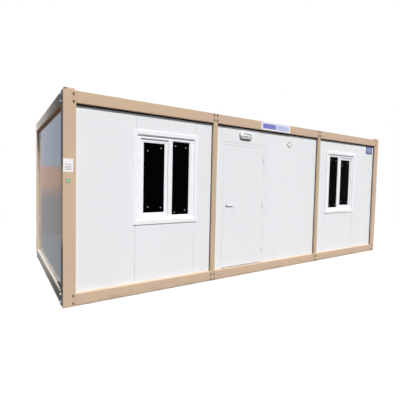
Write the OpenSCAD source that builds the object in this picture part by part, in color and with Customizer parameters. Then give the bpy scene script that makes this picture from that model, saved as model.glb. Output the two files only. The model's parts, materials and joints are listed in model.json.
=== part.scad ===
// Portable site cabin: a bolted steel frame filled with insulated wall panels,
// with one outward-opening door, two windows and a lamp over the door.
// Millimetres, +Z up, door side towards -Y, origin on the ground under the middle.

/* [Cabin] */
// Overall length, from end to end
cabin_l = 7000; // [6400:10:8000]
// Overall width, from front to back
cabin_w = 3000; // [2400:10:3600]
// Height of the frame, from under the bottom rails to the top of the top rails
frame_h = 2618; // [2560:1:2900]

/* [Frame] */
// Width of a corner post on each of its faces
post_w = 150; // [120:1:200]
// Thickness of the foot plate under a corner post
foot_h = 8; // [5:1:30]
// Height of the lifting cap on a corner post
cap_h = 24; // [15:1:40]
// Step from the faces of a corner post in to its cap
cap_inset = 13; // [5:1:25]
// Diameter of the lifting socket in a cap
socket_d = 40; // [25:1:60]
// Height of a rail's face
rail_h = 145; // [120:1:180]
// How far a rail reaches past the inner face of the wall panels
rail_lap = 10; // [4:1:30]
// Width of a middle post
mid_w = 83; // [60:1:120]
// Clear width of the middle bay, between the two middle posts
mid_bay = 2476; // [2200:1:2800]
// Height and depth of the seam across a middle post at each rail
seam_groove = 3; // [1:0.5:6]

/* [Walls] */
// Thickness of a wall panel
panel_t = 60; // [40:1:80]
// Depth of the panels behind the face of the frame
panel_set = 40; // [38:1:60]
// Open joint between two panels
panel_joint = 2; // [1:0.5:6]
// Number of panels in an end wall
end_panels = 3; // [2:1:5]
// Number of panels in each bay of the back wall
back_panels = 2; // [1:1:4]

/* [Windows] */
// Distance from a middle post to the window casing
win_from_mid = 260; // [150:1:400]
// Distance from the top rail down to the window casing
win_drop = 229; // [150:1:350]
// Width over the casing
win_w = 1028; // [900:1:1150]
// Height over the casing
win_h = 1294; // [1100:1:1350]
// Width of the casing's face
casing_w = 60; // [45:1:80]
// How far the casing laps over the wall panels
casing_lap = 38; // [15:1:42]
// How far the casing stands out from the wall panels
casing_t = 12; // [6:1:25]
// Depth of the window frame's face behind the wall panels
frame_set = 6; // [2:1:15]
// Width of the window frame that shows inside the casing
frame_w = 48; // [35:1:70]
// Width of the same on the side next to the fixed light
fixed_side = 74; // [35:1:100]
// Width of the post between the opening and the fixed light
mullion_w = 67; // [45:1:90]
// Width of the opening sash
sash_w = 424; // [340:1:450]
// Depth of the sash's face behind the face of the window frame
sash_set = 14; // [6:1:20]
// Width of the sash's rails and stiles
sash_bar = 52; // [35:1:65]
// Width of the glazing bead round the fixed light
bead_w = 8; // [5:1:25]
// Depth of the glazing bead and of the glass behind the bars that hold it
bead_set = 6; // [4:1:15]
// Thickness of a sealed glass unit
glass_t = 20; // [6:1:24]

/* [Door] */
// Distance from the middle post to the door frame
door_from_post = 108; // [40:1:300]
// Width of the door leaf
leaf_w = 880; // [750:1:1000]
// Height of the wall panel over the door frame
over_door = 260; // [200:1:400]
// Thickness of the door leaf
leaf_t = 45; // [35:1:55]
// Clearance round the closed leaf
leaf_gap = 5; // [5:0.5:8]
// Clearance under the leaf
leaf_foot_gap = 8; // [5:0.5:12]
// Width of a jamb's face
jamb_w = 50; // [35:1:80]
// Depth of the door frame's face behind the wall panels
jamb_set = 2; // [1:1:10]
// Depth of the leaf behind the face of the door frame
leaf_set = 1; // [0:0.5:8]
// Thickness of the stop that the leaf closes towards
stop_t = 13; // [8:1:20]
// How far the stop laps behind the leaf
stop_lap = 15; // [8:1:25]
// Thickness of the threshold strip
threshold_t = 5; // [3:1:12]
// How far the threshold strip stands out from the wall panels
threshold_out = 14; // [5:1:30]

/* [Hinges and handle] */
// Number of hinges
hinge_count = 3; // [2:1:4]
// Distance from an end of the leaf to the nearest hinge
hinge_from_end = 220; // [150:1:350]
// Diameter of a hinge knuckle
knuckle_d = 14; // [12:1:20]
// Length of one knuckle
knuckle_l = 40; // [30:1:70]
// Diameter of the hinge pin
pin_d = 8; // [5:0.5:9]
// Distance from the face of the leaf out to the hinge pin
pin_out = 12; // [11:0.5:18]
// Clearance between knuckles and round pins and spindles
fit_gap = 0.3; // [0.2:0.05:0.5]
// Length of a hinge flap
flap_l = 32; // [25:1:45]
// Thickness of a hinge flap
flap_t = 3; // [2:0.5:4]
// Height of the handle above the underside of the leaf
handle_z = 1020; // [900:1:1100]
// Distance from the free edge of the leaf to the handle's spindle
handle_from_edge = 75; // [55:1:110]
// Diameter of the handle's spindle
spindle_d = 12; // [8:1:20]
// Length of a lever from its spindle
lever_l = 130; // [100:1:160]
// Height of a lever's bar
lever_h = 14; // [12:1:26]
// Thickness of a lever's bar
lever_t = 10; // [8:1:16]
// Distance from the face of the leaf to the back of a lever's bar
lever_out = 18; // [15:1:30]
// Width of a lock plate
lock_w = 38; // [30:1:50]
// Distance from the spindle and the key cylinder to the ends of a lock plate
lock_end = 66; // [40:1:80]
// Thickness of a lock plate
lock_t = 5; // [3:1:8]
// Distance from the spindle down to the key cylinder
key_drop = 85; // [60:1:100]
// Diameter of the key cylinder
key_d = 17; // [12:1:22]
// How far the key cylinder stands out from its lock plate
key_out = 4; // [2:1:8]

/* [Lamp] */
// Width of the lamp over the door
lamp_w = 280; // [220:1:320]
// Height of the lamp's back plate
lamp_h = 122; // [110:1:150]
// Thickness of the lamp's back plate
lamp_plate_t = 8; // [4:1:14]
// How far the lamp's hood stands out from the wall panels
lamp_out = 36; // [25:1:37]
// Margin of the back plate beside and under the lamp's lens
lens_margin = 10; // [5:1:15]
// Radius of the lamp's corners
lamp_r = 34; // [20:1:40]
// Height of the closed upper part of the lamp's hood
hood_h = 48; // [40:1:60]
// Clearance from the head of the door frame up to the lamp
lamp_rise = 49; // [4:1:80]

/* [Floor and roof] */
// Thickness of the floor deck
deck_t = 20; // [12:1:30]
// Width of a floor joist
joist_w = 50; // [40:1:80]
// Height of a floor joist
joist_h = 95; // [70:1:100]
// Number of floor joists
joist_count = 11; // [9:1:15]
// Thickness of the ceiling panel
ceiling_t = 40; // [20:1:60]
// Thickness of the roof sheet
roof_t = 2; // [1:0.5:4]
// Distance between the ribs of the roof sheet
rib_pitch = 226; // [180:1:300]
// Width of a rib's flat top
rib_top = 40; // [25:1:60]
// Width of a rib's slope
rib_slope = 24; // [12:1:35]
// Height of a rib
rib_h = 35; // [20:1:45]
// Depth of the top of the ribs below the top of the rails
roof_drop = 22; // [10:1:40]

/* [Hidden] */
$fn = 48;
eps = 1;

frame_color = "tan";
panel_color = "whitesmoke";
trim_color = "white";
metal_color = "silver";
glass_color = "darkslategray";
deck_color = "peru";

// Depths measured inwards from the face of the frame
panel_in = panel_set + panel_t;
rail_d = panel_in + rail_lap;

// Heights measured from the underside of the bottom rails
wall_z0 = rail_h;
wall_z1 = frame_h - rail_h;

// The middle bay lies between the two middle posts
bay_x0 = (cabin_l - mid_bay) / 2;
bay_x1 = cabin_l - bay_x0;
mid_from_end = bay_x0 - mid_w;

// Window, measured from the left end for the left one and mirrored for the right one
win_x = mid_from_end - win_from_mid - win_w;
win_z = wall_z1 - win_drop - win_h;
hole_x0 = win_x + casing_lap;
hole_x1 = win_x + win_w - casing_lap;
hole_z0 = win_z + casing_lap;
hole_z1 = win_z + win_h - casing_lap;
sight_x0 = win_x + casing_w;
sight_x1 = win_x + win_w - casing_w;
light_z0 = win_z + casing_w + frame_w;
light_z1 = win_z + win_h - casing_w - frame_w;
sash_x0 = sight_x0 + frame_w;
sash_x1 = sash_x0 + sash_w;
fixed_x0 = sash_x1 + mullion_w;
fixed_x1 = sight_x1 - fixed_side;
frame_y = panel_set + frame_set;
sash_y = frame_y + sash_set;

// Door, measured from the left end
door_x0 = bay_x0 + door_from_post;
opening_x0 = door_x0 + jamb_w;
leaf_x0 = opening_x0 + leaf_gap;
leaf_x1 = leaf_x0 + leaf_w;
opening_x1 = leaf_x1 + leaf_gap;
door_x1 = opening_x1 + jamb_w;
leaf_z0 = wall_z0 + threshold_t + leaf_foot_gap;
head_z1 = wall_z1 - over_door;
opening_z1 = head_z1 - jamb_w;
leaf_z1 = opening_z1 - leaf_gap;
leaf_h = leaf_z1 - leaf_z0;
jamb_y = panel_set + jamb_set;
leaf_y0 = jamb_y + leaf_set;
leaf_y1 = leaf_y0 + leaf_t;
stop_y = leaf_y1 + leaf_gap;
jamb_y1 = stop_y + stop_t;
pin_x = leaf_x1 + leaf_gap / 2;
pin_y = leaf_y0 - pin_out;
spindle_x = leaf_x0 + handle_from_edge;
spindle_z = leaf_z0 + handle_z;
lever_y0 = leaf_y0 - lever_out - lever_t;
lever_y1 = leaf_y1 + lever_out + lever_t;
hinge_step = (leaf_h - 2 * hinge_from_end) / (hinge_count - 1);
hinge_zs = [for (i = [0 : hinge_count - 1]) leaf_z0 + hinge_from_end + i * hinge_step];

// Lamp, centred over the door
lamp_x = (leaf_x0 + leaf_x1) / 2;
lamp_z = head_z1 + lamp_rise + lamp_h / 2;

// Roof sheet
roof_z = frame_h - roof_drop - rib_h - roof_t;
rib_count = floor((cabin_l - 2 * rail_d - rib_top - 2 * rib_slope) / rib_pitch);
rib_x0 = cabin_l / 2 - (rib_count - 1) * rib_pitch / 2;

// A box between two opposite corners
module block(a, b) {
    low = [for (i = [0 : 2]) min(a[i], b[i])];
    high = [for (i = [0 : 2]) max(a[i], b[i])];
    translate(low) cube(high - low);
}

// Places what is measured from the left end, the front face and the bottom rails
module from_left_front() {
    translate([-cabin_l / 2, -cabin_w / 2, foot_h]) children();
}

// The same, mirrored to the right end
module from_right_front() {
    mirror([1, 0, 0]) from_left_front() children();
}

// The same, mirrored to the back of the left end
module from_left_back() {
    mirror([0, 1, 0]) from_left_front() children();
}

// The same, turned round to the back of the right end
module from_right_back() {
    rotate([0, 0, 180]) from_left_front() children();
}

// Corner post with its foot plate and its lifting cap, drawn at the front left corner
module corner_post() {
    color(frame_color) difference() {
        union() {
            block([0, 0, -foot_h], [post_w, post_w, frame_h]);
            block(
                [cap_inset, cap_inset, frame_h - eps],
                [post_w - cap_inset, post_w - cap_inset, frame_h + cap_h]
            );
        }
        translate([post_w / 2, post_w / 2, frame_h])
            cylinder(d = socket_d, h = cap_h + eps);
    }
}

// Middle post with a seam across its face at each rail, drawn at the front left
module mid_post() {
    color(frame_color) difference() {
        block([mid_from_end, 0, 0], [bay_x0, rail_d, frame_h]);
        for (z = [wall_z0, wall_z1])
            block(
                [mid_from_end - eps, -eps, z - seam_groove / 2],
                [bay_x0 + eps, seam_groove, z + seam_groove / 2]
            );
    }
}

// Long rail in three lengths, one to each bay, drawn at the front
module long_rail(z) {
    spans = [[post_w, mid_from_end], [bay_x0, bay_x1], [cabin_l - mid_from_end, cabin_l - post_w]];
    color(frame_color) for (s = spans)
        block([s[0], 0, z], [s[1], rail_d, z + rail_h]);
}

// Rail across an end of the cabin, drawn at the left
module end_rail(z) {
    color(frame_color) block([0, post_w, z], [rail_d, cabin_w - post_w, z + rail_h]);
}

// One wall panel along the front
module panel(x0, x1, z0, z1) {
    block([x0, panel_set, z0], [x1, panel_in, z1]);
}

// Wall panels round a window in the bay next to a corner post
module window_wall() {
    color(panel_color) {
        panel(post_w, hole_x0 - panel_joint, wall_z0, wall_z1);
        panel(hole_x0, hole_x1, wall_z0, hole_z0);
        panel(hole_x0, hole_x1, hole_z1, wall_z1);
        panel(hole_x1 + panel_joint, mid_from_end, wall_z0, wall_z1);
    }
}

// Wall panels beside and over the door
module door_wall() {
    color(panel_color) {
        panel(bay_x0, door_x0, wall_z0, wall_z1);
        panel(door_x0 + panel_joint, door_x1 - panel_joint, head_z1, wall_z1);
        panel(door_x1, bay_x1, wall_z0, wall_z1);
    }
}

// Plain wall panels of one width between two posts
module plain_wall(x0, x1, count) {
    width = (x1 - x0 - (count - 1) * panel_joint) / count;
    color(panel_color) for (i = [0 : count - 1]) {
        left = x0 + i * (width + panel_joint);
        panel(left, left + width, wall_z0, wall_z1);
    }
}

// End wall, turned from the front to the left end
module end_wall() {
    translate([0, cabin_w, 0]) rotate([0, 0, -90]) plain_wall(post_w, cabin_w - post_w, end_panels);
}

// Casing on the face of the wall, with a lip that runs back to the window frame
module window_casing() {
    color(trim_color) difference() {
        union() {
            block([win_x, panel_set - casing_t, win_z], [win_x + win_w, panel_set, win_z + win_h]);
            block([hole_x0, panel_set - eps, hole_z0], [hole_x1, frame_y, hole_z1]);
        }
        block(
            [sight_x0, panel_set - casing_t - eps, win_z + casing_w],
            [sight_x1, frame_y + eps, win_z + win_h - casing_w]
        );
    }
}

// Fixed frame with its mullion, cut for the sash and, with a bead, for the fixed light
module window_frame() {
    color(trim_color) difference() {
        block([hole_x0, frame_y, hole_z0], [hole_x1, panel_in, hole_z1]);
        block([sash_x0, frame_y - eps, light_z0], [sash_x1, panel_in + eps, light_z1]);
        block([fixed_x0, frame_y - eps, light_z0], [fixed_x1, frame_y + bead_set, light_z1]);
        block(
            [fixed_x0 + bead_w, frame_y, light_z0 + bead_w],
            [fixed_x1 - bead_w, panel_in + eps, light_z1 - bead_w]
        );
    }
}

// Opening sash, shown shut
module window_sash() {
    color(trim_color) difference() {
        block([sash_x0, sash_y, light_z0], [sash_x1, panel_in, light_z1]);
        block(
            [sash_x0 + sash_bar, sash_y - eps, light_z0 + sash_bar],
            [sash_x1 - sash_bar, panel_in + eps, light_z1 - sash_bar]
        );
    }
}

// Sealed glass units of the sash and of the fixed light
module window_glass() {
    sash_glass_y = sash_y + bead_set;
    fixed_glass_y = frame_y + 2 * bead_set;
    color(glass_color) {
        block(
            [sash_x0 + sash_bar, sash_glass_y, light_z0 + sash_bar],
            [sash_x1 - sash_bar, sash_glass_y + glass_t, light_z1 - sash_bar]
        );
        block(
            [fixed_x0 + bead_w, fixed_glass_y, light_z0 + bead_w],
            [fixed_x1 - bead_w, fixed_glass_y + glass_t, light_z1 - bead_w]
        );
    }
}

// Two jambs and a head, each with its stop
module door_frame() {
    color(trim_color) difference() {
        block([door_x0, jamb_y, wall_z0], [door_x1, jamb_y1, head_z1]);
        block([opening_x0, jamb_y - eps, wall_z0 - eps], [opening_x1, stop_y, opening_z1]);
        block(
            [leaf_x0 + stop_lap, stop_y - eps, wall_z0 - eps],
            [leaf_x1 - stop_lap, jamb_y1 + eps, leaf_z1 - stop_lap]
        );
    }
}

// Strip on the bottom rail under the door
module door_threshold() {
    color(metal_color) block(
        [opening_x0, panel_set - threshold_out, wall_z0],
        [opening_x1, stop_y, wall_z0 + threshold_t]
    );
}

// Half of a hinge: a knuckle on the pin line with its arm and flap, reaching towards side
module hinge_half(z, side, face_y) {
    z1 = z + knuckle_l;
    translate([pin_x, pin_y, z]) cylinder(d = knuckle_d, h = knuckle_l);
    block([pin_x, pin_y, z], [pin_x + side * knuckle_d / 2, face_y, z1]);
    block([pin_x + side * leaf_gap / 2, face_y - flap_t, z], [pin_x + side * flap_l, face_y, z1]);
}

// Door leaf with the upper halves of its hinges, bored for the pins and the spindle
module door_leaf() {
    color(trim_color) difference() {
        union() {
            block([leaf_x0, leaf_y0, leaf_z0], [leaf_x1, leaf_y1, leaf_z1]);
            for (z = hinge_zs) hinge_half(z + fit_gap, -1, leaf_y0);
        }
        for (z = hinge_zs)
            translate([pin_x, pin_y, z - eps]) cylinder(d = pin_d + 2 * fit_gap, h = knuckle_l + 3 * eps);
        translate([spindle_x, leaf_y0 - eps, spindle_z])
            rotate([-90, 0, 0]) cylinder(d = spindle_d + 2 * fit_gap, h = leaf_t + 2 * eps);
    }
}

// Lower halves of the hinges with their pins, on the jamb
module door_hinges() {
    color(metal_color) for (z = hinge_zs) {
        hinge_half(z - knuckle_l, 1, jamb_y);
        translate([pin_x, pin_y, z - knuckle_l]) cylinder(d = pin_d, h = 2 * knuckle_l + fit_gap);
    }
}

// Plate with a key cylinder, standing out from a face of the leaf towards -Y
module lock_plate() {
    difference() {
        union() {
            block([-lock_w / 2, -lock_t, -key_drop - lock_end], [lock_w / 2, 0, lock_end]);
            translate([0, 0, -key_drop]) rotate([90, 0, 0]) cylinder(d = key_d, h = lock_t + key_out);
        }
        rotate([90, 0, 0])
            translate([0, 0, -eps]) cylinder(d = spindle_d + 2 * fit_gap, h = lock_t + 2 * eps);
    }
}

// Lock plates on both faces of the leaf
module door_lock_plates() {
    color(metal_color) {
        translate([spindle_x, leaf_y0, spindle_z]) lock_plate();
        translate([spindle_x, leaf_y1, spindle_z]) mirror([0, 1, 0]) lock_plate();
    }
}

// A lever's bar with a round end at its spindle, from depth y0 to depth y1
module lever(y0, y1) {
    translate([spindle_x, y1, spindle_z]) rotate([90, 0, 0]) cylinder(d = lever_h, h = y1 - y0);
    block([spindle_x, y0, spindle_z - lever_h / 2], [spindle_x + lever_l, y1, spindle_z + lever_h / 2]);
}

// Spindle through the leaf with a lever on each end
module door_handle() {
    color(metal_color) {
        translate([spindle_x, lever_y0, spindle_z])
            rotate([-90, 0, 0]) cylinder(d = spindle_d, h = lever_y1 - lever_y0);
        lever(lever_y0, lever_y0 + lever_t);
        lever(lever_y1 - lever_t, lever_y1);
    }
}

// A plate with rounded corners on the wall, centred on the lamp, from depth y0 to depth y1
module lamp_slab(w, z0, z1, y0, y1) {
    for (x = [-1, 1]) for (z = [z0 + lamp_r, z1 - lamp_r])
        translate([lamp_x + x * (w / 2 - lamp_r), y1, z])
            rotate([90, 0, 0]) cylinder(r = lamp_r, h = y1 - y0);
    block([lamp_x - w / 2, y0, z0 + lamp_r], [lamp_x + w / 2, y1, z1 - lamp_r]);
    block([lamp_x - w / 2 + lamp_r, y0, z0], [lamp_x + w / 2 - lamp_r, y1, z1]);
}

// Back plate of the lamp with the hood along its top
module lamp_body() {
    low = lamp_z - lamp_h / 2;
    high = lamp_z + lamp_h / 2;
    color(trim_color) {
        lamp_slab(lamp_w, low, high, panel_set - lamp_plate_t, panel_set);
        difference() {
            lamp_slab(lamp_w, low, high, panel_set - lamp_out, panel_set);
            block(
                [lamp_x - lamp_w, panel_set - lamp_out - eps, low - eps],
                [lamp_x + lamp_w, panel_set - lamp_plate_t, high - hood_h]
            );
        }
    }
}

// Lens of the lamp under its hood
module lamp_lens() {
    low = lamp_z - lamp_h / 2 + lens_margin;
    high = lamp_z + lamp_h / 2;
    color("lightgray") difference() {
        lamp_slab(lamp_w - 2 * lens_margin, low, high, panel_set - lamp_out, panel_set - lamp_plate_t);
        block(
            [lamp_x - lamp_w, panel_set - lamp_out - eps, high - hood_h],
            [lamp_x + lamp_w, panel_set, high + eps]
        );
    }
}

// Everything between the rails that stands clear of the corner posts
module inside_rails(z0, z1) {
    difference() {
        block([rail_d, rail_d, z0], [cabin_l - rail_d, cabin_w - rail_d, z1]);
        for (x = [0, cabin_l - post_w]) for (y = [0, cabin_w - post_w])
            block([x, y, z0 - eps], [x + post_w, y + post_w, z1 + eps]);
    }
}

module floor_deck() {
    color(deck_color) inside_rails(wall_z0 - deck_t, wall_z0);
}

// Joists under the deck, from the front rail to the back rail
module floor_joists() {
    pitch = (cabin_l - 2 * post_w) / (joist_count + 1);
    z1 = wall_z0 - deck_t;
    color(frame_color) for (i = [1 : joist_count]) {
        x = post_w + i * pitch;
        block([x - joist_w / 2, rail_d, z1 - joist_h], [x + joist_w / 2, cabin_w - rail_d, z1]);
    }
}

module ceiling() {
    color(panel_color) inside_rails(wall_z1, wall_z1 + ceiling_t);
}

// Upper line of the ribbed roof sheet from left to right
function roof_line(lift) = concat(
    [[rail_d, lift]],
    [for (i = [0 : rib_count - 1]) let (x = rib_x0 + i * rib_pitch) each [
        [x - rib_top / 2 - rib_slope, lift],
        [x - rib_top / 2, lift + rib_h],
        [x + rib_top / 2, lift + rib_h],
        [x + rib_top / 2 + rib_slope, lift]
    ]],
    [[cabin_l - rail_d, lift]]
);

// Reverses a list of points
function reversed(points) = [for (i = [len(points) - 1 : -1 : 0]) points[i]];

// Ribbed sheet that lies between the top rails
module roof_sheet() {
    color(metal_color) intersection() {
        translate([0, cabin_w - rail_d, roof_z]) rotate([90, 0, 0])
            linear_extrude(height = cabin_w - 2 * rail_d)
                polygon(concat(roof_line(0), reversed(roof_line(roof_t))));
        inside_rails(roof_z - eps, frame_h);
    }
}

from_left_front() corner_post();  // front_left_post
from_right_front() corner_post();  // front_right_post
from_left_back() corner_post();  // back_left_post
from_right_back() corner_post();  // back_right_post
from_left_front() mid_post();  // front_left_mid_post
from_right_front() mid_post();  // front_right_mid_post
from_left_back() mid_post();  // back_left_mid_post
from_right_back() mid_post();  // back_right_mid_post
from_left_front() long_rail(wall_z1);  // front_top_rail
from_left_back() long_rail(wall_z1);  // back_top_rail
from_left_front() end_rail(wall_z1);  // left_top_rail
from_right_front() end_rail(wall_z1);  // right_top_rail
from_left_front() long_rail(0);  // front_bottom_rail
from_left_back() long_rail(0);  // back_bottom_rail
from_left_front() end_rail(0);  // left_bottom_rail
from_right_front() end_rail(0);  // right_bottom_rail
from_left_front() window_wall();  // front_left_wall
from_left_front() door_wall();  // front_middle_wall
from_right_front() window_wall();  // front_right_wall
from_left_back() plain_wall(post_w, mid_from_end, back_panels);  // back_left_wall
from_left_back() plain_wall(bay_x0, bay_x1, back_panels);  // back_middle_wall
from_right_back() plain_wall(post_w, mid_from_end, back_panels);  // back_right_wall
from_left_front() end_wall();  // left_end_wall
from_right_front() end_wall();  // right_end_wall
from_left_front() window_casing();  // left_window_casing
from_left_front() window_frame();  // left_window_frame
from_left_front() window_sash();  // left_window_sash
from_left_front() window_glass();  // left_window_glass
from_right_front() window_casing();  // right_window_casing
from_right_front() window_frame();  // right_window_frame
from_right_front() window_sash();  // right_window_sash
from_right_front() window_glass();  // right_window_glass
from_left_front() door_frame();
from_left_front() door_threshold();
from_left_front() door_leaf();
from_left_front() door_hinges();
from_left_front() door_lock_plates();
from_left_front() door_handle();
from_left_front() lamp_body();
from_left_front() lamp_lens();
from_left_front() floor_deck();
from_left_front() floor_joists();
from_left_front() ceiling();
from_left_front() roof_sheet();
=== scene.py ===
import json
from math import radians

import bmesh
import bpy
import numpy as np
from bpy.props import FloatProperty, FloatVectorProperty, PointerProperty
from mathutils import Matrix, Vector


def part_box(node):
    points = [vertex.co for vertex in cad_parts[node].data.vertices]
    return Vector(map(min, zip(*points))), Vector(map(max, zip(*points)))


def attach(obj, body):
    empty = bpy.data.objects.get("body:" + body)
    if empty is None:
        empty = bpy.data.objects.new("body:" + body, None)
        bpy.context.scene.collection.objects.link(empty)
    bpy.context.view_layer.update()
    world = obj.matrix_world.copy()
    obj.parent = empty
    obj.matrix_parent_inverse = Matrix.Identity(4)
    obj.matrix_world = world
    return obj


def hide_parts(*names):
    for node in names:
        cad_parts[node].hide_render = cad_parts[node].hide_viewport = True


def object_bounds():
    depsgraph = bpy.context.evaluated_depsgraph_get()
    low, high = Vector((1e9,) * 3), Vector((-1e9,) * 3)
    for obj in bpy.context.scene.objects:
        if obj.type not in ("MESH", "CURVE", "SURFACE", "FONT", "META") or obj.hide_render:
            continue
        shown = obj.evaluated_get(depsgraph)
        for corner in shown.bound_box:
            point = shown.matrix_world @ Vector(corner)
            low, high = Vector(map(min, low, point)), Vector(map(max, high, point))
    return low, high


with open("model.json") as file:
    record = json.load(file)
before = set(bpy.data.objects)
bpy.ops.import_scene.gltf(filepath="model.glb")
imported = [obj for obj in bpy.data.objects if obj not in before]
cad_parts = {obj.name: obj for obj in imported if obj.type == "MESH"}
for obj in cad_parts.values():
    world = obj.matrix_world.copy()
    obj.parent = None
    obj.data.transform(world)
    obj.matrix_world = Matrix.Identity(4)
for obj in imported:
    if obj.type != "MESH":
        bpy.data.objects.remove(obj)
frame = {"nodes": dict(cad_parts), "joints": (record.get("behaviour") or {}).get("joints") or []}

bl_info = {
    "name": "Portable Site Cabin",
    "version": (1, 0, 0),
    "blender": (4, 5, 0),
    "location": "3D View > Sidebar > Cabin",
    "description": "Dresses the portable site cabin: steel, walls, windows, door, lamp, plates and stage",
    "category": "Add Mesh",
}

CAD_BOX = [list(corner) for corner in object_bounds()]
MERGE = 1e-6
SHARP_ANGLE = radians(38)
SAME_POINT_DIGITS = 5
SAME_ROW_DIGITS = 4
FINE_ROUND = 0.001
SMALL_ROUND = 0.002
SINK = 0.0005
TUCK = 0.001
ROUND_STEPS = 8
TURNED_SIDES = 24
HALF_TURN = 2
UPRIGHT = np.array([0.0, 0.0, 1.0])

CORNER_POSTS = ("front_left_post", "front_right_post", "back_left_post", "back_right_post")
MID_POSTS = ("front_left_mid_post", "front_right_mid_post", "back_left_mid_post", "back_right_mid_post")
TOP_RAILS = ("front_top_rail", "back_top_rail", "left_top_rail", "right_top_rail")
BOTTOM_RAILS = ("front_bottom_rail", "back_bottom_rail", "left_bottom_rail", "right_bottom_rail")
# End rails: their paints carry painted light and reflection on the outer faces, with painted shade towards
# the front.
END_RAIL_COATS = {
    "left_top_rail": "top_rail_paint", "right_top_rail": "top_rail_paint",
    "left_bottom_rail": "end_rail_paint", "right_bottom_rail": "end_rail_paint",
}
FRONT_WALLS = ("front_left_wall", "front_middle_wall", "front_right_wall")
LONG_WALLS = (*FRONT_WALLS, "back_left_wall", "back_middle_wall", "back_right_wall")
END_WALLS = ("left_end_wall", "right_end_wall")
WINDOWS = ("left", "right")


def tone(red, green, blue):
    """Linear colour of a paint given on the 0 to 255 scale: each share goes through the sRGB curve."""
    share = np.array((red, green, blue)) / 255
    curve = np.where(share <= 0.04045, share / 12.92, ((share + 0.055) / 1.055) ** 2.4)
    return tuple(float(value) for value in curve)


def length(name, description, default):
    """A size in metres that a user may change."""
    return FloatProperty(name=name, description=description, default=default, min=0.0, unit="LENGTH")


def colour(name, description, *paint):
    """A paint colour that a user may change, given on the 0 to 255 scale."""
    return FloatVectorProperty(
        name=name, description=description, default=tone(*paint), min=0.0, max=1.0, subtype="COLOR"
    )


class CabinSizes(bpy.types.PropertyGroup):
    """Sizes of what is added to the bare solids."""

    steel_round: length("Steel edge", "Radius of the folded edges of posts and rails", 0.007)
    fold_strip: length("Post fold", "Width of the strip set back along a corner post's inner edges", 0.030)
    fold_depth: length("Post fold depth", "Depth of that strip behind the face of the post", 0.0025)
    panel_round: length("Panel edge", "Radius of the folded edges of a wall panel", 0.0015)
    plastic_round: length("Plastic edge", "Radius of the edges of window and door sections", 0.0015)
    casing_width: length("Casing", "Width of a window casing's face", 0.060)
    # Part seal, part painted shade of the gap under the long walls' top rails.
    seal_and_shade_height: length("Seal", "Height of the dark seal between the top rails and the wall panels", 0.022)
    # Painted shade: height of the brown strip where the shade under the end top rails falls.
    brown_shade_height: length("End seal", "Height of the brown seal over the end walls", 0.048)
    washer_round: length("Washer", "Radius of a bolt's washer", 0.0125)
    head_round: length("Bolt head", "Radius of a bolt's head over its corners", 0.0105)
    head_height: length("Bolt head height", "Height of a bolt's head on its washer", 0.0125)
    pad_round: length("Glass pad", "Radius of a pad on the window glass", 0.0085)
    plate_thick: length("Plate", "Thickness of the blue plate, which the other plates' go by", 0.0015)


class CabinColours(bpy.types.PropertyGroup):
    """Colours of the cabin's finishes."""

    frame: colour("Frame", "Coating on posts and rails", 214, 187, 159)
    frame_tint: colour("Frame tint", "Clouds in the coating on posts and rails", 210, 184, 165)
    mid_post: colour("Middle posts", "Coating on the posts between the bays", 205, 185, 150)
    # Painted light and reflection on the outer faces of the rails of the ends.
    painted_rail_light: colour("End rails", "Coating on the outer faces of the rails of the ends", 216, 208, 198)
    end_sill: colour("End sills", "Coating on the end bottom rails' other faces", 200, 192, 184)
    # Painted shade and dark reflection on the outer faces of the ends, strongest at the front.
    painted_face_shade: colour("Film", "Grey film on the outer faces of the ends, thickest at the front", 118, 120, 118)
    wall: colour("Wall", "Coated sheet of the long walls", 238, 240, 243)
    # Painted shade: the end walls' sheet is given greyer than the long walls'.
    end_wall: colour("End wall", "Coated sheet of the end walls", 190, 191, 193)
    # Painted light on the back posts' outer end faces.
    painted_post_light: colour("Bleached frame", "Bleached coating on the back posts' outer faces", 252, 236, 220)
    plastic: colour("White plastic", "Window sections, lamp and lever handle", 249, 250, 254)
    glass: colour("Glass", "Window glass, seen against a dark room", 1, 1, 2)
    # Also the dark strip under the long walls' top rails, which partly paints the shade of the gap there.
    seal: colour("Seal", "Rubber and foam seals", 32, 34, 42)
    # Painted shade: brown of the strip under the end top rails.
    end_seal: colour("End seal", "Brown foam seals over the end walls", 108, 72, 52)
    metal: colour("Metal", "Threshold, and darker the grey plates", 206, 206, 204)
    bolt: colour("Bolts", "Yellowish zinc coating of the bolts", 206, 195, 173)
    roof: colour("Roof", "Zinc coating of the roof sheet and joists", 188, 192, 194)
    floor: colour("Floor", "Boards of the floor deck", 150, 116, 82)
    lens: colour("Lens", "Frosted lens of the lamp", 206, 208, 210)
    sign: colour("Sign", "Blank sign on the top rail", 240, 240, 250)
    sign_bar: colour("Sign bar", "First of the two plain bars on the sign", 128, 130, 206)
    sign_pale: colour("Sign pale bar", "Second of the two plain bars on the sign", 196, 206, 242)
    blue_plate: colour("Blue plate", "Blank square plate beside the right post", 84, 97, 156)
    blue_pale: colour("Blue plate panel", "Plain paler panel on the blue plate", 138, 150, 186)
    paper: colour("Paper", "Label on the left post", 255, 252, 255)
    disc: colour("Disc", "Rim of the round tag on the left post", 72, 150, 104)
    disc_pale: colour("Disc middle", "Middle of the round tag on the left post", 176, 212, 184)


# Surfaces

class Surface:
    """Points with their faces: quads by index, caps of any number of sides, and for each point how far it
    lies on a rounded edge, from 0 on a flat to 1 in the middle of the round."""

    def __init__(self, points, quads, caps=(), edge=None):
        self.points = np.asarray(points, float).reshape(-1, 3)
        self.quads = np.asarray(quads, int).reshape(-1, 4)
        self.caps = [np.asarray(cap, int) for cap in caps]
        self.edge = np.zeros(len(self.points)) if edge is None else np.ravel(edge)


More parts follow.
